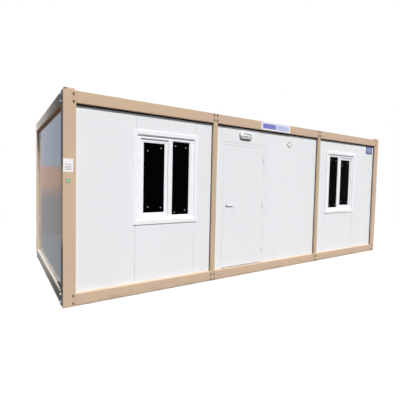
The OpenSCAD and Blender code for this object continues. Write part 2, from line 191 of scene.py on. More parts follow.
def joined(*surfaces):
    """One surface from several: each one's indices start after the points of those before it."""
    starts = np.cumsum([0] + [len(part.points) for part in surfaces])
    return Surface(
        np.concatenate([part.points for part in surfaces]),
        np.concatenate([part.quads + start for part, start in zip(surfaces, starts)]),
        [cap + start for part, start in zip(surfaces, starts) for cap in part.caps],
        np.concatenate([part.edge for part in surfaces]),
    )


def moved(surface, place):
    """The surface carried to a place."""
    return Surface(surface.points + np.asarray(place, float), surface.quads, surface.caps, surface.edge)


def repeated(surface, places):
    """A copy of the surface at each place."""
    return joined(*[moved(surface, place) for place in places])


def turned(surface, quarter_turns):
    """The surface turned about the upright axis through the origin by quarter turns, seen from above."""
    angle = quarter_turns * np.pi / 2
    across = np.array([np.cos(angle), np.sin(angle), 0.0])
    inward = np.array([-np.sin(angle), np.cos(angle), 0.0])
    points = surface.points @ np.stack([across, inward, UPRIGHT])
    return Surface(points, surface.quads, surface.caps, surface.edge)


def unit(vectors):
    """Each vector divided by its own length."""
    return vectors / np.linalg.norm(vectors, axis=-1, keepdims=True)


def grid_quads(rows, columns, wrap_rows=False, wrap_columns=False):
    """Indices of the four corners of each cell of a grid of points, wrapped round where asked."""
    row, column = np.meshgrid(
        np.arange(rows if wrap_rows else rows - 1),
        np.arange(columns if wrap_columns else columns - 1),
        indexing="ij",
    )
    next_row = (row + 1) % rows
    next_column = (column + 1) % columns
    corners = [
        row * columns + column,
        row * columns + next_column,
        next_row * columns + next_column,
        next_row * columns + column,
    ]
    return np.stack(corners, -1).reshape(-1, 4)


def end_caps(rows, columns):
    """Caps over the first and the last row of a grid of points."""
    first = np.arange(columns)
    return [first, first + (rows - 1) * columns]


def filleted(corners, radius, steps=3):
    """Closed outline with an arc at each corner: its ends lie radius / tan(half the angle) along the two
    sides, its centre radius / sin(half the angle) along the line that halves them, and its points turn
    evenly between the ends. Returns the points and how far each lies into its arc, from 0 at the ends to 1
    in the middle."""
    corners = np.asarray(corners, float)
    radius = np.broadcast_to(radius, len(corners))[:, None]
    back = unit(np.roll(corners, 1, 0) - corners)
    ahead = unit(np.roll(corners, -1, 0) - corners)
    half = np.arccos(np.clip((back * ahead).sum(1), -1, 1))[:, None] / 2
    centre = corners + unit(back + ahead) * radius / np.sin(half)
    first = corners + back * radius / np.tan(half) - centre
    last = corners + ahead * radius / np.tan(half) - centre
    share = np.linspace(0, 1, steps + 1)
    sweep = np.pi - 2 * half
    from_first = np.sin((1 - share) * sweep) / np.sin(sweep)
    from_last = np.sin(share * sweep) / np.sin(sweep)
    points = centre[:, None] + from_first[..., None] * first[:, None] + from_last[..., None] * last[:, None]
    edge = np.broadcast_to(1 - np.abs(2 * share - 1), points.shape[:2])
    return points.reshape(-1, 2), edge.ravel()


def rectangle(low_a, high_a, low_b, high_b):
    """Corners of a rectangle, in order."""
    return [(low_a, low_b), (high_a, low_b), (high_a, high_b), (low_a, high_b)]


def rounded_box(low, high, radius, steps=2):
    """Box with rounded edges: the directions of a sphere by latitude and longitude, with each eighth pushed
    out to its own corner, so that a point is the middle + side * (half size - radius) + radius * direction.
    The rings round the poles are closed by caps."""
    low = np.asarray(low, float)
    high = np.asarray(high, float)
    quarter = np.linspace(0, np.pi / 2, steps + 1)
    latitude = np.concatenate([quarter - np.pi / 2, quarter])[:, None]
    longitude = np.concatenate([quarter + turn * np.pi / 2 for turn in range(4)])[None]
    direction = np.stack(np.broadcast_arrays(
        np.cos(latitude) * np.cos(longitude), np.cos(latitude) * np.sin(longitude), np.sin(latitude)
    ), -1)
    side = np.stack(np.broadcast_arrays(
        np.repeat([1, -1, -1, 1], steps + 1)[None],
        np.repeat([1, 1, -1, -1], steps + 1)[None],
        np.repeat([-1, 1], steps + 1)[:, None],
    ), -1)
    points = (low + high) / 2 + side * ((high - low) / 2 - radius) + radius * direction
    edge = np.clip((1 - np.abs(direction).max(-1)) / (1 - np.sqrt(0.5)), 0, 1)
    rows, columns = edge.shape
    pole = np.arange(4) * (steps + 1)
    caps = [pole, pole + (rows - 1) * columns]
    return Surface(points, grid_quads(rows, columns, wrap_columns=True), caps, edge)


def prism(outline, edge, axis, low, high):
    """Closed outline carried straight along an axis, with flat ends."""
    count = len(outline)
    points = np.stack([np.insert(outline, axis, end, axis=1) for end in (low, high)])
    quads = grid_quads(2, count, wrap_columns=True)
    return Surface(points, quads, end_caps(2, count), np.tile(edge, 2))


def mitred_ring(low_x, high_x, low_z, high_z, profile, edge):
    """Closed profile of (inset, depth) carried round an upright rectangle: the inset moves a point in from
    all four corners alike, which mitres them, and the depth is its Y."""
    corners = np.array(rectangle(low_x, high_x, low_z, high_z))
    inward = np.array([(1, 1), (-1, 1), (-1, -1), (1, -1)])
    return mitred(corners, inward, profile, edge, closed=True)


def mitred_arch(low_x, high_x, low_z, high_z, profile, edge):
    """Closed profile of (inset, depth) carried up one side, over the top and down the other side of a
    rectangle."""
    corners = np.array([(low_x, low_z), (low_x, high_z), (high_x, high_z), (high_x, low_z)])
    inward = np.array([(1, 0), (1, -1), (-1, -1), (-1, 0)])
    return mitred(corners, inward, profile, edge, closed=False)


def mitred(corners, inward, profile, edge, closed):
    """A profile at each corner: corner + inset * inward direction in X and Z, with the profile's depth in
    Y."""
    rows = len(corners)
    count = len(profile)
    flat = corners[:, None] + inward[:, None] * profile[None, :, :1]
    points = np.insert(flat, 1, np.broadcast_to(profile[:, 1], flat.shape[:2]), axis=2)
    caps = [] if closed else end_caps(rows, count)
    quads = grid_quads(rows, count, wrap_rows=closed, wrap_columns=True)
    return Surface(points, quads, caps, np.tile(edge, rows))


def revolved(profile, sides, axis=1):
    """Profile of (distance from the axis, place along it) turned right round an axis through the origin."""
    radius, along = np.asarray(profile, float).T
    angle = np.arange(sides) * 2 * np.pi / sides
    flat = radius[:, None, None] * np.stack([np.cos(angle), np.sin(angle)], -1)
    points = np.insert(flat, axis, np.broadcast_to(along[:, None], flat.shape[:2]), axis=2)
    return Surface(points, grid_quads(len(radius), sides, wrap_columns=True))


def chamfered_disc(size, thick, edge, foot, sides):
    """Round plate that faces the front: its rim is straight for a share of the thickness and then draws in
    to a share of its size, which are the two values of edge, and its foot lies a little behind the face
    that it stands on."""
    top_share, rise_share = edge
    rim = -thick * rise_share
    return revolved([(0, foot), (size, foot), (size, rim), (size * top_share, -thick), (0, -thick)], sides)


def squared_turn(profile, centre, sides=48):
    """Closed profile of (size, height, squareness) turned about an upright axis: at an angle the point lies
    out at its size where the squareness is 0, and at size / the larger of |cos| and |sin| where it is 1."""
    size, height, square = np.asarray(profile, float).T[..., None]
    angle = np.arange(sides) * 2 * np.pi / sides
    stretch = 1 / np.maximum(np.abs(np.cos(angle)), np.abs(np.sin(angle)))
    reach = size * (1 + square * (stretch - 1))
    points = np.stack([
        centre[0] + reach * np.cos(angle),
        centre[1] + reach * np.sin(angle),
        np.broadcast_to(height, reach.shape),
    ], -1)
    return Surface(points, grid_quads(len(size), sides, wrap_rows=True, wrap_columns=True))


def carried(path, section, size):
    """Section of (across, up) carried along a path: it stands square to the path at each point, scaled by
    the size there, so that it closes where the size is 0."""
    ahead = unit(np.gradient(path, axis=0))
    across = unit(np.cross(ahead, UPRIGHT))
    lift = np.cross(across, ahead)
    spread = section[None, :, :1] * across[:, None] + section[None, :, 1:] * lift[:, None]
    points = path[:, None] + size[:, None, None] * spread
    return Surface(points, grid_quads(len(path), len(section), wrap_columns=True))


def pillow_rise(share, out, power):
    """How far a pillow stands out at a share of the way from its middle to its rim: the full height times
    the root of 1 less the share raised to the power, with the root of the same power."""
    return out * (1 - share ** power) ** (1 / power)


def dome(outline, back, out, power, rows):
    """Outline drawn in to its middle while it rises to the front like a pillow. The rim is closed by a flat
    back."""
    middle = (outline.min(0) + outline.max(0)) / 2
    share = np.sin(np.linspace(np.pi / 2, 0, rows))
    rise = pillow_rise(share, out, power)
    flat = middle + share[:, None, None] * (outline - middle)
    points = np.insert(flat, 1, np.broadcast_to(back - rise[:, None], flat.shape[:2]), axis=2)
    return Surface(points, grid_quads(rows, len(outline), wrap_columns=True), [np.arange(len(outline))])


def solid_boxes(node):
    """Lowest and highest corner of each separate solid of a CAD node, from left to right. Points at one
    place share a label, and each triangle passes its lowest label to its corners until nothing changes."""
    mesh = frame["nodes"][node].data
    points = np.empty(len(mesh.vertices) * 3)
    mesh.vertices.foreach_get("co", points)
    points = points.reshape(-1, 3)
    corners = np.empty(len(mesh.loops), int)
    mesh.loops.foreach_get("vertex_index", corners)
    same = np.unique(points.round(SAME_POINT_DIGITS), axis=0, return_inverse=True)[1].ravel()
    triangles = same[corners].reshape(-1, 3)
    labels = np.arange(same.max() + 1)
    settled = False
    while not settled:
        lowest = np.repeat(labels[triangles].min(1), 3)
        passed = labels.copy()
        np.minimum.at(passed, triangles.ravel(), lowest)
        settled = np.array_equal(passed, labels)
        labels = passed
    solids = [points[labels[same] == label] for label in np.unique(labels)]
    boxes = [(solid.min(0), solid.max(0)) for solid in solids]
    return sorted(boxes, key=lambda box: (box[0] + box[1]).round(SAME_ROW_DIGITS).tolist())


def corners_of(node):
    """Lowest and highest corner of a CAD node as arrays."""
    low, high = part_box(node)
    return np.array(low), np.array(high)


def put(name, surface, finish, body="cabin", stands_for=()):
    """Makes a piece of a surface: its doubles are merged, its faces turned outwards and shaded smooth
    between sharp edges, with flats kept flat by weighted normals, and it rides on a body."""
    mesh = bpy.data.meshes.new(name)
    faces = surface.quads.tolist() + [cap.tolist() for cap in surface.caps]
    mesh.from_pydata(surface.points.tolist(), [], faces)
    mesh.attributes.new("edge", "FLOAT", "POINT").data.foreach_set("value", surface.edge)
    shape = bmesh.new()
    shape.from_mesh(mesh)
    bmesh.ops.remove_doubles(shape, verts=shape.verts, dist=MERGE)
    bmesh.ops.recalc_face_normals(shape, faces=shape.faces)
    shape.to_mesh(mesh)
    shape.free()
    mesh.polygons.foreach_set("use_smooth", np.ones(len(mesh.polygons), bool))
    mesh.set_sharp_from_angle(angle=SHARP_ANGLE)
    mesh.materials.append(finish)
    piece = bpy.data.objects.new(name, mesh)
    bpy.context.scene.collection.objects.link(piece)
    weighted = piece.modifiers.new("flat faces", "WEIGHTED_NORMAL")
    weighted.keep_sharp = True
    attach(piece, body)
    if stands_for:
        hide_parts(*stands_for)
    return piece


def dress(node, finish):
    """Gives a CAD node that stays in view its finish."""
    materials = frame["nodes"][node].data.materials
    materials.clear()
    materials.append(finish)


# Finishes

MIX_SOCKETS = {"share": 0, "first": 6, "second": 7, "result": 2}
EVEN = (1.0, 1.0, 1.0)


class Finish:
    """One node material: patterns on Object coordinates drive the colour, roughness and bump of a
    Principled shader."""

    def __init__(self, name, roughness=0.5, metallic=0.0, specular=0.5):
        self.material = bpy.data.materials.new(name)
        self.material.use_nodes = True
        self.tree = self.material.node_tree
        self.shader = self.tree.nodes["Principled BSDF"]
        self.roughness = roughness
        self.drive("Roughness", roughness)
        self.drive("Metallic", metallic)
        self.drive("Specular IOR Level", specular)
        self.place = self.node("ShaderNodeTexCoord").outputs["Object"]

    def feed(self, socket, value):
        """Links another socket in, or sets a constant."""
        if isinstance(value, bpy.types.NodeSocket):
            self.tree.links.new(value, socket)
        elif socket.type == "RGBA":
            socket.default_value = (*value, 1.0)
        else:
            socket.default_value = value

    def node(self, kind, **values):
        """A new node with its named sockets fed."""
        made = self.tree.nodes.new(kind)
        for name, value in values.items():
            self.feed(made.inputs[name], value)
        return made

    def drive(self, name, value):
        """Feeds a socket of the shader."""
        self.feed(self.shader.inputs[name], value)

    def noise(self, scale, detail=3.0, stretch=EVEN):
        """Cloudy pattern from 0 to 1, stretched along the axes where the scale is small."""
        mapping = self.node("ShaderNodeMapping", Vector=self.place, Scale=stretch)
        return self.node(
            "ShaderNodeTexNoise", Vector=mapping.outputs["Vector"], Scale=scale, Detail=detail
        ).outputs["Fac"]

    def cells(self, scale):
        """Grey value of each cell of a crystal-like pattern."""
        pattern = self.node("ShaderNodeTexVoronoi", Vector=self.place, Scale=scale)
        return self.node("ShaderNodeSeparateColor", Color=pattern.outputs["Color"]).outputs["Red"]

    def along(self, axis):
        """Distance along an axis, in metres."""
        return self.node("ShaderNodeSeparateXYZ", Vector=self.place).outputs[axis]

    def edges(self):
        """How far a point lies on a rounded edge."""
        attribute = self.node("ShaderNodeAttribute")
        attribute.attribute_name = "edge"
        return attribute.outputs["Fac"]

    def spread(self, value, low, high, first=0.0, last=1.0):
        """Smooth change from first to last while the value goes from low to high."""
        ranged = self.node("ShaderNodeMapRange")
        ranged.interpolation_type = "SMOOTHSTEP"
        settings = {"Value": value, "From Min": low, "From Max": high, "To Min": first, "To Max": last}
        for name, setting in settings.items():
            self.feed(ranged.inputs[name], setting)
        return ranged.outputs["Result"]

    def reckon(self, operation, first, second=0.0):
        """Product, difference or the like of two values, or the size of the first."""
        made = self.tree.nodes.new("ShaderNodeMath")
        made.operation = operation
        self.feed(made.inputs[0], first)
        self.feed(made.inputs[1], second)
        return made.outputs[0]

    def mix(self, share, first, second):
        """Colour between two colours."""
        mixer = self.tree.nodes.new("ShaderNodeMix")
        mixer.data_type = "RGBA"
        self.feed(mixer.inputs[MIX_SOCKETS["share"]], share)
        self.feed(mixer.inputs[MIX_SOCKETS["first"]], first)
        self.feed(mixer.inputs[MIX_SOCKETS["second"]], second)
        return mixer.outputs[MIX_SOCKETS["result"]]

    def roughen(self, pattern, less, more, low=0.3, high=0.7):
        """Roughness that follows a pattern, from less than the finish's own to more than it."""
        rough = self.spread(pattern, low, high, self.roughness - less, self.roughness + more)
        self.drive("Roughness", rough)

    def bump(self, height, depth):
        """Relief as high as the height times a depth in metres."""
        relief = self.node("ShaderNodeBump", Height=height, Distance=depth)
        self.drive("Normal", relief.outputs["Normal"])


def shaded(paint, share):
    """The paint made darker, or lighter where the share is over 1."""
    return tuple(min(value * share, 1.0) for value in paint)


END_FACE = CAD_BOX[1][0]
# Outer end faces: how far in from the end the painted light and shade start and are full, how far forward
# the painted shade reaches and where it is least at mid height.
OUTER_FACE_FROM = 0.004
OUTER_FACE_FULL = 0.001
PAINTED_SHADE_REACH = (-1.4, 0.4)
# Where along the cabin the painted light starts on the outer end faces of posts and of rails.
POST_LIGHT_REACH = (-0.6, 0.6)
RAIL_LIGHT_REACH = (-1.6, -1.5)
PAINTED_SHADE_GAP = {"level": 1.25, "from": 0.35, "to": 0.60, "share": 0.1}
DUST_TOP = 0.16
SPLASH_LEVELS = (0.15, 0.5)
BOARD_HALF = 0.1
BOARD_JOINT = 0.0025
LENS_RIB_HALF = 0.004


def frame_paint(name, coat, tint, painted_face_shade, painted_light, painted_light_reach):
    """Satin coating on steel: soft clouds of tint, paler rubbed edges, dust near the ground and orange
    peel. What faces the ends carries painted light and reflection towards the back, and painted shade and
    dark reflection towards the front, less of it at mid height."""
    paint = Finish(name, roughness=0.7, specular=0.04)
    cloud = paint.spread(paint.noise(scale=1.1, detail=4.0), low=0.35, high=0.65)
    base = paint.mix(cloud, coat, tint)
    patchy = paint.spread(paint.noise(scale=9.0, detail=5.0), low=0.42, high=0.62, last=0.6)
    rubbed = paint.reckon("MULTIPLY", paint.edges(), patchy)
    base = paint.mix(rubbed, base, shaded(coat, 1.25))
    # Painted light and reflection on the outer end faces towards the back.
    from_middle = paint.reckon("ABSOLUTE", paint.along("X"))
    outer = paint.spread(from_middle, END_FACE - OUTER_FACE_FROM, END_FACE - OUTER_FACE_FULL)
    behind = paint.spread(paint.along("Y"), *painted_light_reach)
    base = paint.mix(paint.reckon("MULTIPLY", outer, behind), base, painted_light)
    # Painted shade and dark reflection on the outer end faces, strongest towards the front and least at mid
    # height.
    from_gap = paint.reckon("ABSOLUTE", paint.reckon("SUBTRACT", paint.along("Z"), PAINTED_SHADE_GAP["level"]))
    shade_share = paint.spread(from_gap, PAINTED_SHADE_GAP["from"], PAINTED_SHADE_GAP["to"], first=PAINTED_SHADE_GAP["share"])
    forward = paint.spread(paint.along("Y"), *PAINTED_SHADE_REACH, first=1.0, last=0.0)
    reach = paint.reckon("MULTIPLY", shade_share, forward)
    base = paint.mix(paint.reckon("MULTIPLY", outer, reach), base, painted_face_shade)
    near_ground = paint.spread(paint.along("Z"), 0.0, DUST_TOP, first=1.0, last=0.0)
    drift = paint.noise(scale=5.0, detail=6.0, stretch=(1.0, 1.0, 3.0))
    dust = paint.reckon("MULTIPLY", near_ground, paint.spread(drift, low=0.4, high=0.7, last=0.45))
    paint.drive("Base Color", paint.mix(dust, base, shaded(coat, 0.62)))
    paint.roughen(paint.noise(scale=14.0), less=0.06, more=0.1)
    paint.bump(paint.noise(scale=420.0, detail=2.0), depth=0.00012)
    return paint.material


def wall_sheet(colours):
    """Smooth coated sheet: faint upright tone bands from rolling, rain streaks near the foot and a fine
    grain."""
    sheet = Finish("wall_sheet", roughness=0.42, specular=0.35)
    band = sheet.spread(sheet.noise(scale=1.6, stretch=(1.0, 1.0, 0.25)), low=0.3, high=0.7)
    base = sheet.mix(band, shaded(colours.wall, 0.985), shaded(colours.wall, 1.01))
    near_foot = sheet.spread(sheet.along("Z"), *SPLASH_LEVELS, first=1.0, last=0.0)
    streak = sheet.noise(scale=7.0, detail=6.0, stretch=(1.0, 1.0, 0.35))
    splash = sheet.reckon("MULTIPLY", near_foot, sheet.spread(streak, low=0.5, high=0.8, last=0.2))
    sheet.drive("Base Color", sheet.mix(splash, base, shaded(colours.wall, 0.72)))
    sheet.roughen(sheet.noise(scale=3.0), less=0.06, more=0.06)
    sheet.bump(sheet.noise(scale=600.0, detail=2.0), depth=0.00006)
    return sheet.material


def end_sheet(colours):
    """Glossy coated sheet, given greyer than the long walls' as painted shade: it bows a little and has
    faint clouds of tone.
    """
    sheet = Finish("end_sheet", roughness=0.08, specular=0.25)
    pattern = sheet.noise(scale=0.9, detail=2.0, stretch=(1.0, 1.0, 0.5))
    cloud = sheet.spread(pattern, low=0.35, high=0.7, last=0.25)
    sheet.drive("Base Color", sheet.mix(cloud, colours.end_wall, shaded(colours.end_wall, 0.86)))
    sheet.roughen(sheet.noise(scale=4.0, detail=4.0), less=0.02, more=0.02)
    sheet.bump(sheet.noise(scale=0.9, detail=1.0), depth=0.004)
    return sheet.material


def white_plastic(name, paint):
    """Extruded white plastic: hardly visible die lines, a little dust on the edges and a low gloss."""
    plastic = Finish(name, roughness=0.32, specular=0.4)
    cloud = plastic.spread(plastic.noise(scale=6.0, detail=4.0), low=0.35, high=0.7)
    base = plastic.mix(cloud, paint, shaded(paint, 0.98))
    patchy = plastic.spread(plastic.noise(scale=20.0), low=0.45, high=0.7, last=0.15)
    dusty = plastic.reckon("MULTIPLY", plastic.edges(), patchy)
    plastic.drive("Base Color", plastic.mix(dusty, base, shaded(paint, 0.8)))
    plastic.roughen(plastic.noise(scale=11.0), less=0.05, more=0.08)
    plastic.bump(plastic.noise(scale=300.0, detail=1.0, stretch=(1.0, 1.0, 0.05)), depth=0.00005)
    return plastic.material


def rubber(name, paint):
    """Matt rubber or foam with dust in its grain."""
    seal = Finish(name, roughness=0.75, specular=0.15)
    dust = seal.spread(seal.noise(scale=40.0, detail=5.0), low=0.5, high=0.8, last=0.5)
    seal.drive("Base Color", seal.mix(dust, paint, shaded(paint, 1.8)))
    seal.roughen(seal.noise(scale=90.0), less=0.1, more=0.1)
    seal.bump(seal.noise(scale=500.0, detail=2.0), depth=0.0001)
    return seal.material


def dark_glass(colours):
    """Glass in front of a dark room: near black, sharp, with a breath of dust."""
    glass = Finish("dark_glass", roughness=0.04, specular=0.01)
    breath = glass.noise(scale=3.0, detail=5.0, stretch=(1.0, 1.0, 0.5))
    most_dust = 0.6
    dust = glass.spread(breath, low=0.45, high=0.8, last=most_dust)
    glass.drive("Base Color", glass.mix(dust, colours.glass, shaded(colours.glass, 2.0)))
    glass.roughen(dust, less=0.01, more=0.06, low=0.0, high=most_dust)
    return glass.material


def brushed_metal(name, paint, stretch, roughness, metallic):
    """Metal with fine scratches in its roughness, tone and relief, which run along the axis of least
    stretch."""
    metal = Finish(name, roughness=roughness, metallic=metallic)
    scratch = metal.noise(scale=260.0, stretch=stretch)
    tone_share = metal.spread(scratch, low=0.3, high=0.7)
    metal.drive("Base Color", metal.mix(tone_share, shaded(paint, 0.86), paint))
    metal.roughen(scratch, less=0.08, more=0.1)
    metal.bump(scratch, depth=0.00005)
    return metal.material


def zinc_sheet(name, paint):
    """Zinc coating: crystals of many greys with dull weathered clouds."""
    zinc = Finish(name, roughness=0.45, metallic=0.35)
    crystal = zinc.cells(scale=38.0)
    base = zinc.mix(crystal, shaded(paint, 0.82), shaded(paint, 1.08))
    weather = zinc.spread(zinc.noise(scale=1.5, detail=5.0), low=0.35, high=0.7, last=0.4)
    zinc.drive("Base Color", zinc.mix(weather, base, shaded(paint, 0.7)))
    zinc.roughen(crystal, less=0.07, more=0.11, low=0.0, high=1.0)
    zinc.bump(crystal, depth=0.00008)
    return zinc.material


def floor_board(colours):
    """Coated boards: grain along the cabin with darker joints between boards and scuffs."""
    board = Finish("floor_board", roughness=0.5, specular=0.35)
    grain = board.noise(scale=26.0, detail=6.0, stretch=(0.06, 1.0, 1.0))
    streak = board.spread(grain, low=0.3, high=0.7)
    base = board.mix(streak, shaded(colours.floor, 0.75), shaded(colours.floor, 1.12))
    from_joint = board.reckon("PINGPONG", board.along("Y"), BOARD_HALF)
    joint = board.spread(from_joint, 0.0, BOARD_JOINT, first=1.0, last=0.0)
    base = board.mix(joint, base, shaded(colours.floor, 0.3))
    scuff = board.spread(board.noise(scale=2.4, detail=5.0), low=0.5, high=0.75, last=0.4)
    board.drive("Base Color", board.mix(scuff, base, shaded(colours.floor, 1.3)))
    board.roughen(grain, less=0.08, more=0.1)
    board.bump(grain, depth=0.0003)
    return board.material


def frosted_lens(colours):
    """Frosted plastic of the lamp, with fine upright ribs and faint clouds of dust."""
    lens = Finish("frosted_lens", roughness=0.25, specular=0.45)
    cloud = lens.spread(lens.noise(scale=18.0, detail=4.0), low=0.35, high=0.7)
    lens.drive("Base Color", lens.mix(cloud, colours.lens, shaded(colours.lens, 0.85)))
    lens.roughen(lens.noise(scale=50.0), less=0.07, more=0.1)
    lens.bump(lens.reckon("PINGPONG", lens.along("X"), LENS_RIB_HALF), depth=0.4)
    return lens.material


def printed_plate(name, paint, roughness=0.4):
    """Thin coated plate or label: faint fading, a rubbed rim and a slight ripple."""
    plate = Finish(name, roughness=roughness, specular=0.4)
    fade = plate.spread(plate.noise(scale=8.0, detail=4.0), low=0.35, high=0.7)
    base = plate.mix(fade, paint, shaded(paint, 0.92))
    plate.drive("Base Color", plate.mix(plate.edges(), base, shaded(paint, 0.75)))
    plate.roughen(plate.noise(scale=24.0), less=0.06, more=0.1)
    plate.bump(plate.noise(scale=14.0, detail=2.0), depth=0.0006)
    return plate.material


FINISHES = {}


def finish(name):
    """A finish by name, made the first time that it is asked for."""
    colours = bpy.context.scene.cabin_colours
    makers = {
        # Posts: painted shade on the front posts' outer end faces and painted light on the back posts'.
        "frame_paint": lambda: frame_paint(
            "frame_paint", colours.frame, colours.frame_tint, colours.painted_face_shade, colours.painted_post_light, POST_LIGHT_REACH
        ),
        "mid_post_paint": lambda: frame_paint(
            "mid_post_paint", colours.mid_post, shaded(colours.frame, 0.92),
            colours.painted_face_shade, colours.painted_post_light, POST_LIGHT_REACH,
        ),
        # End rails: painted light and reflection on the outer faces, painted shade towards the front.
        "end_rail_paint": lambda: frame_paint(
            "end_rail_paint", colours.end_sill, shaded(colours.end_sill, 0.95),
            colours.painted_face_shade, colours.painted_rail_light, RAIL_LIGHT_REACH,
        ),
        "top_rail_paint": lambda: frame_paint(
            "top_rail_paint", colours.frame, colours.frame_tint, colours.painted_face_shade, colours.painted_rail_light, RAIL_LIGHT_REACH
        ),
        "wall_sheet": lambda: wall_sheet(colours),
        "end_sheet": lambda: end_sheet(colours),
        "window_white": lambda: white_plastic("window_white", colours.plastic),
        "door_white": lambda: white_plastic("door_white", colours.wall),
        "lamp_white": lambda: white_plastic("lamp_white", colours.plastic),
        "seal_rubber": lambda: rubber("seal_rubber", colours.seal),
        # Painted shade: the brown strip under the end top rails.
        "end_seal": lambda: rubber("end_seal", colours.end_seal),
        # Painted shade: the dark beads in the corners at the posts.
        "corner_seal": lambda: rubber("corner_seal", shaded(colours.frame, 0.12)),
        "dark_glass": lambda: dark_glass(colours),
        "bolt_zinc": lambda: brushed_metal("bolt_zinc", colours.bolt, EVEN, roughness=0.38, metallic=0.4),
        # Painted shade: a darker copy of the bolts' zinc, for the long sides.
        "bolt_dull": lambda: brushed_metal(
            "bolt_dull", shaded(colours.bolt, 0.3), EVEN, roughness=0.5, metallic=0.3
        ),
        "handle_white": lambda: white_plastic("handle_white", colours.plastic),
        "threshold_metal": lambda: brushed_metal(
            "threshold_metal", colours.metal, (0.05, 1.0, 1.0), roughness=0.36, metallic=0.85
        ),
        "roof_zinc": lambda: zinc_sheet("roof_zinc", colours.roof),
        "joist_zinc": lambda: zinc_sheet("joist_zinc", shaded(colours.roof, 0.8)),
        "floor_board": lambda: floor_board(colours),
        "ceiling_sheet": lambda: white_plastic("ceiling_sheet", colours.wall),
        "frosted_lens": lambda: frosted_lens(colours),
        "sign_white": lambda: printed_plate("sign_white", colours.sign),
        "sign_bar": lambda: printed_plate("sign_bar", colours.sign_bar),
        "sign_pale": lambda: printed_plate("sign_pale", colours.sign_pale),
        "plate_grey": lambda: printed_plate("plate_grey", shaded(colours.metal, 0.42)),
        # Painted shade: grey of the line across the lamp's hood.
        "vent_grey": lambda: printed_plate("vent_grey", shaded(colours.metal, 0.16)),
        "plate_blue": lambda: printed_plate("plate_blue", colours.blue_plate),
        "plate_pale": lambda: printed_plate("plate_pale", colours.blue_pale),
        "label_paper": lambda: printed_plate("label_paper", colours.paper, roughness=0.65),
        "label_rule": lambda: printed_plate("label_rule", shaded(colours.paper, 0.3), roughness=0.65),
        "disc_green": lambda: printed_plate("disc_green", colours.disc, roughness=0.5),
        "disc_pale": lambda: printed_plate("disc_pale", colours.disc_pale, roughness=0.5),
        "pad_grey": lambda: printed_plate("pad_grey", shaded(colours.plastic, 0.5), roughness=0.55),
    }
    if name not in FINISHES:
        FINISHES[name] = makers[name]()
    return FINISHES[name]


# Steel frame

FOOT_THICK = 0.008
FOOT_ROUND = 0.0015
INNER_ROUND = 0.003
CAP_HEIGHT = 0.024
CAP_INSET = 0.013
SOCKET_ROUND = 0.020
CAP_BEVEL = 0.003
WELD = 0.006
WELD_BULGE = 0.6
SEAM = 0.003
PLUG_SIZE = (0.030, 0.004, 0.013)
PLUG_ROUND = 0.0015
PLUG_FROM_CORNER = 0.030


def outer_corner(low, high):
    """The corner of a corner post's plan that is the cabin's own, and the ways inwards from it along X and
    Y."""
    inwards = np.where(low + high < 0, 1.0, -1.0)[:2]
    return np.where(inwards > 0, low[:2], high[:2]), inwards


def corner_post(node, sizes):
    """Folded post, drawn from its outer corner inwards: a filleted outline with a set-back strip along both
    inner edges, carried up from the foot plate to the top of the rails."""
    low, high = corners_of(node)
    corner, inwards = outer_corner(low, high)
    width = high[0] - low[0]
    fold = width - sizes.fold_strip
    set_back = sizes.fold_depth
    outline = [
        (0, 0), (fold, 0), (fold + set_back, set_back), (width, set_back),
        (width, width), (set_back, width), (set_back, fold + set_back), (0, fold),
    ]
    folds = [FINE_ROUND, FINE_ROUND]
    points, edge = filleted(outline, [sizes.steel_round, *folds, *[INNER_ROUND] * 3, *folds])
    shaft_foot = low[2] + FOOT_THICK
    shaft = prism(corner + points * inwards, edge, 2, shaft_foot, high[2] - CAP_HEIGHT)
    return joined(shaft, rounded_box(low, (*high[:2], shaft_foot), FOOT_ROUND))


def lifting_cap(node):
    """Square plate with a round socket and a bead of weld round its foot, on top of a corner post."""
    low, high = corners_of(node)
    middle = (low + high) / 2
    half = (high[0] - low[0]) / 2 - CAP_INSET
    top = high[2]
    foot = top - CAP_HEIGHT
    plate = [
        (SOCKET_ROUND, foot, 0), (SOCKET_ROUND, top - CAP_BEVEL, 0), (SOCKET_ROUND + CAP_BEVEL, top, 0),
        (half - CAP_BEVEL, top, 1), (half, top - CAP_BEVEL, 1), (half, foot, 1),
    ]
    bulge = WELD_BULGE * WELD
    bead = [
        (half - TUCK, foot, 1), (half + WELD, foot, 1), (half + bulge, foot + bulge, 1),
        (half - TUCK, foot + WELD, 1),
    ]
    return joined(squared_turn(plate, middle), squared_turn(bead, middle))


def cap_plugs(node):
    """Dark plugs in the slots on the two outer sides of a lifting cap, near the cabin's corner."""
    low, high = corners_of(node)
    corner, inwards = outer_corner(low, high)
    level = high[2] - CAP_HEIGHT / 2
    half = np.array(PLUG_SIZE) / 2
    plugs = []
    for inset, reach in (
        ((PLUG_FROM_CORNER, CAP_INSET), half),
        ((CAP_INSET, PLUG_FROM_CORNER), half[[1, 0, 2]]),
    ):
        middle = np.append(corner + inwards * inset, level)
        plugs.append(rounded_box(middle - reach, middle + reach, PLUG_ROUND))
    return joined(*plugs)


def mid_post(node, sizes):
    """Post between two bays: a head, a shaft and a foot with rounded edges over a core that shows in the
    seams."""
    low, high = corners_of(node)
    soft = sizes.steel_round
    seam_low = corners_of("front_bottom_rail")[1][2]
    seam_high = corners_of("front_top_rail")[0][2]
    bottoms = (low[2], seam_low + SEAM / 2, seam_high + SEAM / 2)
    tops = (seam_low - SEAM / 2, seam_high - SEAM / 2, high[2])
    lengths = [
        rounded_box((*low[:2], bottom), (*high[:2], top), soft) for bottom, top in zip(bottoms, tops)
    ]
    return joined(*lengths, rounded_box(low + SEAM, high - SEAM, soft))


